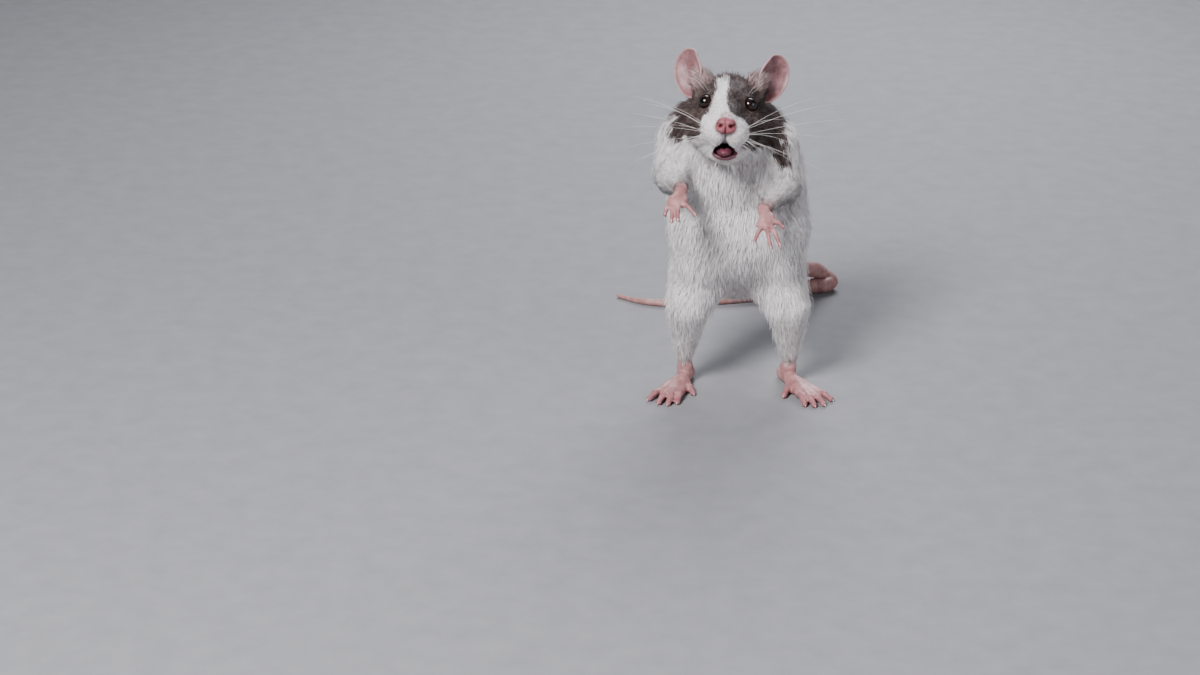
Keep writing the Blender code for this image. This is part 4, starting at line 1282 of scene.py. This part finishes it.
def ear_leaf(across, up, out, side):
    """The ear's sheet at places across and up from its middle, and how much painted shade each takes for
    lying in a crease
    """
    inner = -across * side

    def fold(place, lean, width, low, height):
        """A ridge that leans as it rises, strongest a little below the middle"""
        return bell(inner - place + lean * up, width) * bell(up + low, height)

    width = EAR_WIDTH / 2 * (1.0 - 0.16 * (1.0 - up) ** 1.5 / 2.8)
    cup = EAR_CUP * (1.0 - across ** 2 - 0.75 * up ** 2)
    rim = bell(out - 0.955, 0.05)
    helix = bell(inner - 0.80, 0.16) * ramp(up, -0.9, 0.1)
    first = fold(0.35, 0.30, 0.13, 0.10, 0.40)
    second = fold(-0.10, 0.35, 0.11, 0.30, 0.32)
    third = fold(0.66, 0.18, 0.07, 0.05, 0.5)
    shaded = fold(0.16, 0.32, 0.08, 0.2, 0.4)
    hollow = np.exp(-(((inner - 0.05) / 0.42) ** 2 + ((up + 0.62) / 0.30) ** 2))
    wave = 0.22 * np.sin(up * 7.0 + inner * 3.0) * (1 - out ** 4)
    cup = cup - rim * 0.45 - helix * 1.35 - first * 1.1 - second * 0.85
    cup = cup + hollow * 1.3 + wave * 0.6 + third * 0.5
    height = EAR_LENGTH * (0.5 + 0.5 * up)
    return np.stack((across * width, cup, height), 1), np.minimum(third + shaded + hollow * 0.8, 1.0)


def build_ear(name, pose):
    """A cupped leaf with a rolled rim and soft folds inside"""
    place = ear_frame(pose)
    share = np.linspace(0.0, 1.0, EAR_RINGS + 1)[1:]
    reach, around = np.meshgrid(share, turns(EAR_SPOKES), indexing="ij")
    across, up, out = (reach * np.cos(around)).ravel(), (reach * np.sin(around)).ravel(), reach.ravel()
    front, shade = ear_leaf(across, up, out, pose["side"])
    middle, middle_shade = ear_leaf(*np.zeros((3, 1)), pose["side"])
    thick = np.interp(out, *EAR_THICK)
    thickness = (0, 1, 0) * thick[:, None]
    thickest = (0, EAR_THICK[1][0], 0)
    points = np.concatenate((front - thickness, front + thickness, middle - thickest, middle + thickest))
    points = points @ np.array(place.to_3x3()).T + np.array(place.translation)
    size = EAR_RINGS * EAR_SPOKES
    faces = []
    j = np.arange(EAR_SPOKES)
    k = (j + 1) % EAR_SPOKES
    for layer, centre in ((0, 2 * size), (size, 2 * size + 1)):
        a, b, c, d = (layer + part for part in grid_faces(EAR_RINGS, EAR_SPOKES))
        fan = triples(np.full(EAR_SPOKES, centre), layer + j, layer + k)
        sheet = np.concatenate((triples(a, c, b), triples(a, d, c), fan))
        faces.append(sheet if layer == 0 else sheet[:, ::-1])
    near, far = size - EAR_SPOKES, 2 * size - EAR_SPOKES
    faces.append(triples(near + j, far + k, near + k))
    faces.append(triples(near + j, far + j, far + k))
    item = new_piece(name, points, np.concatenate(faces))
    set_values(item, "rim", np.concatenate((out, out, (0.0, 0.0))))
    set_values(item, "low", np.concatenate((up, up, (0.0, 0.0))))
    # How much painted shade each point takes in the ear's creases and hollow
    set_values(item, "crease", np.concatenate((shade, np.zeros(size), middle_shade, (0.0,))))
    fix_outward(item)
    return item


def fix_outward(item):
    shape = bmesh.new()
    shape.from_mesh(item.data)
    bmesh.ops.recalc_face_normals(shape, faces=shape.faces[:])
    shape.to_mesh(item.data)
    shape.free()


EAR_SKIN = ((0.0, (0.135, 0.058, 0.062)), (0.55, (0.21, 0.105, 0.11)), (1.0, (0.31, 0.18, 0.18)))
EAR_THREADS = ((0.46, (0.0, 0.0, 0.0)), (0.50, (1.0, 1.0, 1.0)), (0.54, (0.0, 0.0, 0.0)))
EAR_VEIN = (0.52, 0.20, 0.22)
# Painted shade, deeper down the ear's bowl
EAR_LOW_SHADE = (0.20, 0.065, 0.075)
# Painted shade in the ear's creases and hollow
EAR_CREASE_SHADE = (0.12, 0.035, 0.045)
EAR_RIM = (0.52, 0.34, 0.33)


def ear_material():
    nodes = Nodes("ear_skin")
    place = nodes.place()
    blotch = nodes.noise(place, 240.0, 4.0, 0.6)
    base = nodes.ramp(nodes.levels(blotch, 0.3, 0.72), *EAR_SKIN)
    thread = nodes.ramp(nodes.noise(place, 420.0, 2.0, 0.5, (1.0, 1.0, 0.45)), *EAR_THREADS)
    colour = nodes.mix(nodes.maths("MULTIPLY", thread, 0.28), base, EAR_VEIN)
    # Painted shade: darker towards the bottom of the ear's bowl
    colour = nodes.mix(nodes.levels(nodes.value("low"), 0.1, -0.9, 0.0, 0.6), colour, EAR_LOW_SHADE)
    # Painted shade in the ear's creases and hollow
    colour = nodes.mix(nodes.maths("MULTIPLY", nodes.value("crease"), 0.7), colour, EAR_CREASE_SHADE)
    colour = nodes.mix(nodes.levels(nodes.value("rim"), 0.88, 1.0, 0.0, 0.6), colour, EAR_RIM)
    grain = nodes.bump(nodes.noise(place, 1900.0, 3.0), 0.35, 0.06, nodes.bump(blotch, 0.4, 0.3))
    return nodes.surface(
        colour, grain, Roughness=0.5, Sheen_Weight=0.08, Sheen_Roughness=0.4,
        Subsurface_Weight=0.35, Subsurface_Radius=(1.0, 0.30, 0.22), Subsurface_Scale=0.0016)


EYE_RINGS = 30
EYE_SPOKES = 48
EYE_IRIS = ((0.3, (0.006, 0.003, 0.003)), (0.7, (0.018, 0.008, 0.007)))
EYE_PUPIL = (0.002, 0.0015, 0.0015)


def build_eye(name, side):
    """A globe with a slightly raised cornea where it looks out"""
    eye = np.array(mirrored(EYE_PLACE, side))
    look = unit(np.array(mirrored(EYE_LOOK, side)))
    across = unit(np.cross(look, (0.0, 0.0, 1.0)))
    other = np.cross(look, across)
    polar = np.linspace(0.03, math.pi - 0.03, EYE_RINGS)
    radius = EYE_RADIUS - 0.12 + 0.16 * bell(polar, 0.55)
    round_look = circles(turns(EYE_SPOKES), across[None], other[None])
    direction = np.cos(polar)[:, None, None] * look + np.sin(polar)[:, None, None] * round_look
    points = eye + direction * radius[:, None, None]
    points = np.concatenate((points.reshape(-1, 3), [eye + look * radius[0]], [eye - look * radius[-1]]))
    item = new_piece(name, from_head(points), tube_faces(EYE_RINGS, EYE_SPOKES))
    set_values(item, "pole", np.concatenate((np.repeat(polar, EYE_SPOKES), (0.0, math.pi))))
    fix_outward(item)
    return item


def eye_material():
    nodes = Nodes("eye")
    place = nodes.place()
    iris = nodes.ramp(nodes.noise(place, 900.0, 3.0), *EYE_IRIS)
    colour = nodes.mix(nodes.levels(nodes.value("pole"), 0.52, 0.62), EYE_PUPIL, iris)
    film = nodes.bump(nodes.noise(place, 500.0, 2.0), 0.05, 0.02)
    return nodes.surface(colour, film, Roughness=0.05, Specular_IOR_Level=0.5)


TONGUE_RINGS = 28
TONGUE_SPOKES = 40


def build_tongue():
    """A soft tongue with a groove down its middle"""
    polar = np.linspace(0.05, math.pi - 0.05, TONGUE_RINGS)
    p, a = np.meshgrid(polar, turns(TONGUE_SPOKES), indexing="ij")
    x, y, z = np.sin(p) * np.cos(a), -np.cos(p), np.sin(p) * np.sin(a)
    groove = 0.28 * bell(x, 0.22) * (z > 0) * np.sin(p)
    width, length, height = TONGUE_SIZE
    points = np.stack((x * width, y * length, (z - groove) * height), -1).reshape(-1, 3)
    points = np.concatenate((points, ((0.0, -length, 0.0), (0.0, length, 0.0)))) + TONGUE_PLACE
    item = new_piece("tongue_soft", from_head(points), tube_faces(TONGUE_RINGS, TONGUE_SPOKES))
    fix_outward(item)
    return item


CLAW_RINGS = 8
CLAW_SIDES = 10
CLAW_DEPTH = 0.7


def build_claws(name, claws):
    """Curved, pointed, flattened from side to side"""
    points = []
    faces = []
    for start, along, up, length in claws:
        start, along, up = (np.array(vector) for vector in (start, along, up))
        across = unit(np.cross(along, up))
        rise = np.cross(across, along)
        faces.append(tube_faces(CLAW_RINGS, CLAW_SIDES) + len(points))
        for share in np.linspace(0.0, 1.0, CLAW_RINGS):
            centre = start + along * (length * share - CLAW_DEPTH) - rise * (0.75 * share ** 2)
            radius = 0.42 * (1 - share ** 1.6) + 0.04
            for turn in turns(CLAW_SIDES):
                aside = across * math.cos(turn) * radius * 0.75
                points.append(centre + aside + rise * math.sin(turn) * radius * 1.1)
        points.append(start - along * CLAW_DEPTH)
        points.append(start + along * (length - 0.6) - rise * 0.78)
    points = np.array(points)
    points[:, 2] = np.maximum(points[:, 2], 0.02)
    item = new_piece(name, points, np.concatenate(faces))
    fix_outward(item)
    return item


HAIR_SIDES = 5
HAIR_STEPS = 10
HAIR_TIP = 0.012


def hair_tube(stops, thickness):
    """One whisker: a thin cone along a bent course"""
    points, _ = course_of([(stop, 1.0) for stop in stops], HAIR_STEPS)
    _, across, other = frames_along(points)
    share = np.linspace(0.0, 1.0, len(points))
    radii = thickness * (1 - share) ** 0.8 + HAIR_TIP
    tube = points[:, None] + circles(turns(HAIR_SIDES), across, other) * radii[:, None, None]
    return np.concatenate((tube.reshape(-1, 3), points[:1], points[-1:])), tube_faces(len(points), HAIR_SIDES)


# Whiskers to a row and rows, the longest on each side, the short hairs of the pad and the chin, how
# thick they are, and the two hairs over each eye: root, way, length, droop and thickness
WHISKER_ROWS = 3
WHISKER_COLUMNS = 3
PAD_HAIRS = 16
CHIN_HAIRS = 5
WHISKER_LIMITS = {1: 52.0, -1: 38.0}
SHORT_HAIR = 0.030
BROW_HAIRS = (
    ((8.6, 26.5, 12.6), (0.75, 0.15, 1.0), 7.5, -1.0, 0.015),
    ((9.6, 27.5, 12.2), (0.95, 0.35, 0.8), 5.5, -0.6, 0.015),
)


def build_whiskers(name, side, seed):
    """Rows of whiskers on the muzzle's pad, with the brow's and chin's"""
    rng = np.random.default_rng(seed)
    points = []
    faces = []

    def add(root, way, length, droop, thickness):
        """A hair from a root and way given for the left side"""
        root = np.array(mirrored(root, side))
        way = unit(np.array(mirrored(way, side), dtype=float))
        stops = [root - way * 0.8]
        for share in (0.35, 0.7, 1.0):
            stops.append(root + way * length * share + np.array((0.0, 0.5, -1.0)) * droop * share ** 2)
        tube, skin = hair_tube(stops, thickness)
        faces.append(skin + sum(len(part) for part in points))
        points.append(tube)

    for row in range(WHISKER_ROWS):
        for column in range(WHISKER_COLUMNS):
            root = (6.6 + 0.9 * column, 6.2 + 2.4 * column, -1.2 - 2.1 * row)
            swing = 0.25 + 0.20 * column + rng.normal() * 0.07
            rise = 0.60 - 0.42 * row + rng.normal() * 0.10
            length = min((24.0 + 11.0 * column) * rng.uniform(0.8, 1.1), WHISKER_LIMITS[side])
            add(root, (1.0, swing, rise), length, 3.0 + rng.uniform(0, 4.0), 0.030 + 0.006 * column)
    for _ in range(PAD_HAIRS):
        root = (rng.uniform(4.0, 7.6), rng.uniform(4.0, 11.0), rng.uniform(-9.0, -3.5))
        way = (1.0, rng.uniform(-0.1, 0.5), rng.uniform(-0.9, 0.1))
        add(root, way, rng.uniform(5.0, 11.0), 0.8, SHORT_HAIR)
    for _ in range(CHIN_HAIRS):
        root = (rng.uniform(0.8, 4.0), rng.uniform(8.0, 12.0), -14.6)
        add(root, (rng.uniform(0.1, 0.7), -0.2, -1.0), rng.uniform(3.5, 6.5), 0.3, SHORT_HAIR)
    for hair in BROW_HAIRS:
        add(*hair)
    return new_piece(name, from_head(np.concatenate(points)), np.concatenate(faces))


# The length of limb that loses its fur above a wrist or an ankle
FURRY_WRIST = 9.0
FURRY_ANKLE = 8.0
# Places in the head, each a centre and radii
LIP_GAP = ((0.0, 8.2, -11.2), (4.8, 6.0, 2.6))
NOSE_PAD = ((0.0, 1.2, -0.1), (4.5, 4.6, 3.7))
BRIDGE = ((0.0, 4.5, 3.4), (2.6, 3.6, 2.4))
GROOVE = ((0.0, 3.4, -4.8), (0.45, 4.5, 2.8))
MOUTH_CORNERS = (((-5.6, 9.4, -10.6), (1.5, 2.6, 0.85)), ((4.9, 9.4, -10.6), (0.9, 2.4, 0.75)))
# Places on both sides of it
NOSTRIL = ((2.5, 1.2, -0.3), (1.3, 1.6, 0.62))
NOSTRIL_SLIT = ((3.5, 1.8, 0.45), (0.6, 1.6, 0.6))
CHEEK_FOLD = ((16.5, 29.8, -6.8), (8.0, 3.2, 8.0))
EAR_TUFT = ((10.2, 35.5, 14.5), (4.5, 5.0, 7.0))
BESIDE_TUFT = ((11.0, 35.5, 15.0), (6.0, 7.0, 8.0))


def bare_ends(net, found):
    """0 where a limb is furry, 1 where it is bare, and a slow change above wrist and ankle"""
    fade = np.zeros(len(net.points))
    for side in SIDES:
        arm, leg = ARMS[side], LEGS[side]
        for start, end, parts, furry in (
            (arm["elbow"], arm["wrist"], ("forearm", "paw"), FURRY_WRIST),
            (leg["knee"], leg["ankle"], ("shank", "foot"), FURRY_ANKLE),
        ):
            way = unit(np.subtract(end, start))
            past = (net.points - np.array(end)) @ way + mottle(net.points, 2.5, 61) * 0.8
            here = among(found, ["%s_%s" % (part, side) for part in parts])
            fade = np.where(here, ramp(past, -furry, 1.5), fade)
    return fade


def flushed(net, found, nose):
    """The redder skin of the nose and of the tips of fingers and toes"""
    flush = 1.0 - ramp(nose, 0.9, 1.2)
    for side in SIDES:
        toe_tips = [(*tip, 1.0) for tip in LEGS[side]["toe_tips"]]
        for name, tips, reach in (("paw_" + side, ARMS[side]["tips"], 6.0), ("foot_" + side, toe_tips, 9.0)):
            away = np.min([np.linalg.norm(net.points - tip, axis=1) for tip in tips], axis=0)
            flush = np.maximum(flush, 0.55 * among(found, [name]) * ramp(away, reach, 1.0))
    return flush


def surface_fields(net, found, depth):
    """What the coat and the skin's material need to know at every point of the skin"""
    head = to_head(net.points)
    on_head = among(found, HEAD_NODES)
    back = 0.42 + 0.58 * ramp(head[:, 1], 4.0, 30.0)
    length = by_part(found, 1) * np.where(on_head, back, 1.0)
    width = by_part(found, 2) * np.where(on_head, 0.55 + 0.45 * back, 1.0)
    density = by_part(found, 3) * np.where(on_head, 1.6 - 0.6 * back, 1.0)
    fade = bare_ends(net, found)
    length = net.softened(length, 25) * (1.0 - 0.55 * fade)
    width = net.softened(width, 25)
    density = net.softened(density, 8) * (1.0 - 0.6 * fade)
    stand = np.zeros(len(head))
    lid = np.zeros(len(head))
    parting_shade = np.zeros(len(head))
    clump = np.where(among(found, ["belly"]), 0.25, 0.35)

    mouth = apart(head, MOUTH_PLACE, np.array(MOUTH_SIZE) + 0.3)
    lips = np.minimum(mouth, apart(head, *LIP_GAP))
    nose = apart(head, *NOSE_PAD)
    inner = 1.0 - ramp(lips, 1.0, 1.12)
    bare = np.maximum(np.where(on_head, 0.0, fade), 1.0 - ramp(nose, 0.9, 1.12))
    # Painted shade inside the mouth, darker towards its top
    dark = (1.0 - ramp(mouth, 0.95, 1.15)) * (0.5 + 0.5 * ramp(head[:, 2], -13.2, -11.0))
    density = density * ramp(lips, 1.0, 1.12) * ramp(nose, 0.95, 1.15)
    pale = np.maximum(0.85 * (1.0 - outside(head, *BRIDGE, 0.5, 1.25)), 0.8 * fade)
    for corner in MOUTH_CORNERS:
        # Painted shade in the mouth's corners
        dark = np.maximum(dark, 0.95 * (1.0 - outside(head, *corner, 0.6, 1.15)))
        density = density * outside(head, *corner, 0.8, 1.1)
    for side in (-1, 1):
        eye = np.linalg.norm(head - np.array(mirrored(EYE_PLACE, side)), axis=1)
        nostril, slit, fold, tuft = (
            apart(head, mirrored(centre, side), radii)
            for centre, radii in (NOSTRIL, NOSTRIL_SLIT, CHEEK_FOLD, EAR_TUFT)
        )
        fuzz = 1.0 - ramp(tuft, 0.5, 1.2)
        lid = np.maximum(lid, 1.0 - ramp(eye, 3.10, 3.45))
        # Painted shade in the nostrils
        dark = np.maximum(dark, 0.85 * (1.0 - ramp(np.minimum(nostril, slit), 0.4, 1.2)))
        # The cheek's fold: painted shade there, and the fur parts, growing shorter and thinner
        parting_shade = np.maximum(parting_shade, 1.0 - ramp(fold, 0.25, 1.0))
        stand = np.maximum(stand, 0.85 * fuzz)
        pale = np.maximum(pale, 0.62 * fuzz)
        length = length * (0.35 + 0.65 * ramp(eye, 3.4, 7.0)) * (1.0 + 0.8 * fuzz)
        width = width * (1.0 + 0.2 * fuzz)
        clump = clump * (1.0 - 0.75 * fuzz)
        density = density * ramp(eye, 3.1, 3.5) * (1.0 + 0.2 * fuzz)
    # Painted shade in the groove under the nose
    dark = np.maximum(dark, 0.5 * (1.0 - outside(head, *GROOVE, 0.4, 1.1)))

    normals = net.normals()
    lie = lie_of_coat(net, found)
    for side in (-1, 1):
        centre, radii = BESIDE_TUFT
        outward = from_head((side * 1.0, -0.1, 0.75)) - from_head((0.0, 0.0, 0.0))
        lie = lie + (outward - lie) * (1.0 - outside(head, mirrored(centre, side), radii, 0.7, 1.3))[:, None]
    lie = unit(lie - normals * (lie * normals).sum(1, keepdims=True))
    return {
        "normal": normals,
        "lie": lie,
        "length": length * (1.0 - 0.6 * parting_shade),
        "width": width,
        "density": density * (1.0 - 0.4 * parting_shade),
        "depth": depth,
        "stand": stand,
        "clump": clump,
        "pale": pale,
        "parting_shade": parting_shade,
        "hood": hood_at(net.points, net.softened(on_head.astype(float), 5)),
        "ragged": np.where(on_head, 0.3 + 0.7 * ramp(head[:, 1] - 0.5 * head[:, 2], 22.0, 32.0), 1.0),
        "bare": np.maximum(bare, inner),
        "dark": dark,
        "lid": lid,
        "flush": flushed(net, found, nose),
        "lips": inner,
    }


def finish_piece(item, material, slot, *nodes):
    """The piece's material, its place under the root, and the hiding of the nodes it replaces; the slot is
    not used
    """
    item.data.materials.append(material)
    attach(item, "root")
    if nodes:
        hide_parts(*nodes)


# The rat

net, found, depth, claws = build_skin()
fields = surface_fields(net, found, depth)
skin = new_piece("skin", net.points, net.faces)
set_values(skin, "hood", ramp(fields["hood"] + mottle(net.points, 3.0, 5) * 0.8, -0.8, 0.8))
for field in ("bare", "dark", "lid", "flush", "lips", "parting_shade"):
    set_values(skin, field, fields[field])
finish_piece(skin, skin_material(), "white_fur", *SKIN_NODES)

# Each piece of coat: the nodes it grows on, the axis its map is rolled out from, the place and way
# of a cut and the side of it that the piece keeps, and how much more crowded its tufts are
HEAD_AXIS = (from_head((0, -4, 0)), from_head((0, 40, 0)))
HEAD_CUT = (from_head((0, 21, 0)), from_head((0, 22, 0)) - from_head((0, 21, 0)))
BELLY_AXIS = ((0.0, 24.0, 30.0), (-1.0, 24.0, 80.0))
BELLY_CUT = (np.array((0.0, 22.0, 50.0)), np.array((0.0, 1.0, 0.0)))
COAT_PIECES = {
    "coat_muzzle": (HEAD_NODES, HEAD_AXIS, HEAD_CUT, -1, 1.6),
    "coat_head": (HEAD_NODES, HEAD_AXIS, HEAD_CUT, 1, 1.45),
    "coat_neck": (["neck"], ((-6.0, 18.0, 90.0), (-7.0, 16.0, 125.0)), None, 0, 1.5),
    "coat_chest": (["chest"], ((-2.0, 22.0, 70.0), (-4.0, 20.0, 110.0)), None, 0, 1.25),
    "coat_belly": (["belly"], BELLY_AXIS, BELLY_CUT, -1, 1.1),
    "coat_back": (["belly"], BELLY_AXIS, BELLY_CUT, 1, 1.0),
}
for side_name in SIDES:
    arm, leg = ARMS[side_name], LEGS[side_name]
    arm_nodes = ["%s_%s" % (part, side_name) for part in ("upper_arm", "forearm", "paw")]
    leg_nodes = ["%s_%s" % (part, side_name) for part in ("thigh", "shank", "foot")]
    COAT_PIECES["coat_arm_" + side_name] = (arm_nodes, (arm["shoulder"], arm["wrist"]), None, 0, 1.0)
    COAT_PIECES["coat_leg_" + side_name] = (leg_nodes, (leg["hip"], leg["ankle"]), None, 0, 1.0)
QUICK_SHARE = 1.0
FIRST_SEED = 100
SEED_STEP = 10
tree = net.tree()
coat = coat_material()
face_owner = found[net.faces[:, 0]]
face_middle = net.points[net.faces].mean(1)
for number, (name, (nodes_under, axis, cut, kept, crowd)) in enumerate(COAT_PIECES.items()):
    chosen = among(face_owner, nodes_under)
    if cut is not None:
        chosen &= (face_middle - cut[0]) @ cut[1] * kept > 0
    seed = FIRST_SEED + SEED_STEP * number
    piece = grow(name, net, tree, fields, chosen, axis, seed, crowd * QUICK_SHARE)
    finish_piece(piece, coat, "white_fur")

finish_piece(build_tail(), tail_material(), "tail_skin", "tail_1", "tail_2", "tail_3", "tail_4")
ear_look = ear_material()
for side_name, pose in EARS.items():
    finish_piece(build_ear("ear_leaf_" + side_name, pose), ear_look, "ear_skin", "ear_" + side_name)
eye_look = eye_material()
for side_name, side in (("left", 1), ("right", -1)):
    finish_piece(build_eye("eye_globe_" + side_name, side), eye_look, "eye", "eye_" + side_name)
tongue_look = plain_material(
    "tongue_wet", (700.0, 3.0), (0.085, 0.016, 0.029), (0.145, 0.037, 0.056), (3600.0, 2.0, 0.4, 0.05),
    Roughness=0.3, Subsurface_Weight=0.2, Subsurface_Radius=(1.0, 0.3, 0.2), Subsurface_Scale=0.0008)
finish_piece(build_tongue(), tongue_look, "tongue_skin", "tongue")
claw_look = plain_material(
    "claw", (1500.0, 3.0), (0.70, 0.50, 0.46), (0.88, 0.76, 0.72), (1500.0, 3.0, 0.25, 0.04),
    Roughness=0.28, Subsurface_Weight=0.3, Subsurface_Radius=(1.0, 0.5, 0.4), Subsurface_Scale=0.0006)
for name, places in claws.items():
    finish_piece(build_claws("claws_" + name, places), claw_look, "paw_skin")
whisker_look = plain_material(
    "whisker", (60.0, 2.0), (0.72, 0.68, 0.66), (0.92, 0.90, 0.88), (3000.0, 2.0, 0.2, 0.02),
    Roughness=0.35, Coat_Weight=0.2)
for side_name, side, seed in (("left", 1, 41), ("right", -1, 47)):
    finish_piece(build_whiskers("whiskers_" + side_name, side, seed), whisker_look, "white_fur")

# Floor, light and camera

FLOOR_SIZE = 6.0
CAMERA_PLACE = (-57.1, -1054.7, 459.2)
CAMERA_AIM = (-57.1, 54.0, 0.0)


def build_floor():
    mesh = bpy.data.meshes.new("floor")
    shape = bmesh.new()
    bmesh.ops.create_grid(shape, x_segments=24, y_segments=24, size=FLOOR_SIZE)
    shape.to_mesh(mesh)
    shape.free()
    item = add_object("floor", mesh)
    item.data.materials.append(plain_material(
        "floor", (90.0, 6.0), (0.20, 0.205, 0.215), (0.23, 0.235, 0.245), Roughness=0.8))


def point_at(item, place, aim):
    """Puts a light or camera at a place and turns it to another"""
    item.location = Vector(in_world(place))
    item.rotation_euler = (Vector(in_world(aim)) - item.location).to_track_quat("-Z", "Y").to_euler()


def add_light(name, place, aim, size, power, colour):
    light = bpy.data.lights.new(name, "AREA")
    light.shape = "DISK"
    light.size = size
    light.energy = power
    light.color = colour
    point_at(add_object(name, light), place, aim)


build_floor()
add_light("key", (-420.0, -620.0, 760.0), (0.0, 0.0, 80.0), 0.35, 20.5, (1.0, 0.975, 1.0))
add_light("fill", (700.0, -500.0, 320.0), (0.0, 0.0, 70.0), 0.7, 3.0, (0.94, 0.92, 1.0))
add_light("rim", (120.0, 650.0, 520.0), (0.0, 0.0, 80.0), 0.5, 7.0, (0.93, 0.92, 1.0))
world = bpy.data.worlds.new("studio")
world.use_nodes = True
background = world.node_tree.nodes["Background"]
background.inputs["Color"].default_value = (0.80, 0.82, 0.88, 1.0)
background.inputs["Strength"].default_value = 0.16
bpy.context.scene.world = world

camera_data = bpy.data.cameras.new("camera")
camera_data.lens = 84.0
camera_data.sensor_width = 36.0
camera_data.clip_start = 0.05
camera_data.clip_end = 30.0
camera = add_object("camera", camera_data)
point_at(camera, CAMERA_PLACE, CAMERA_AIM)
bpy.context.scene.camera = camera
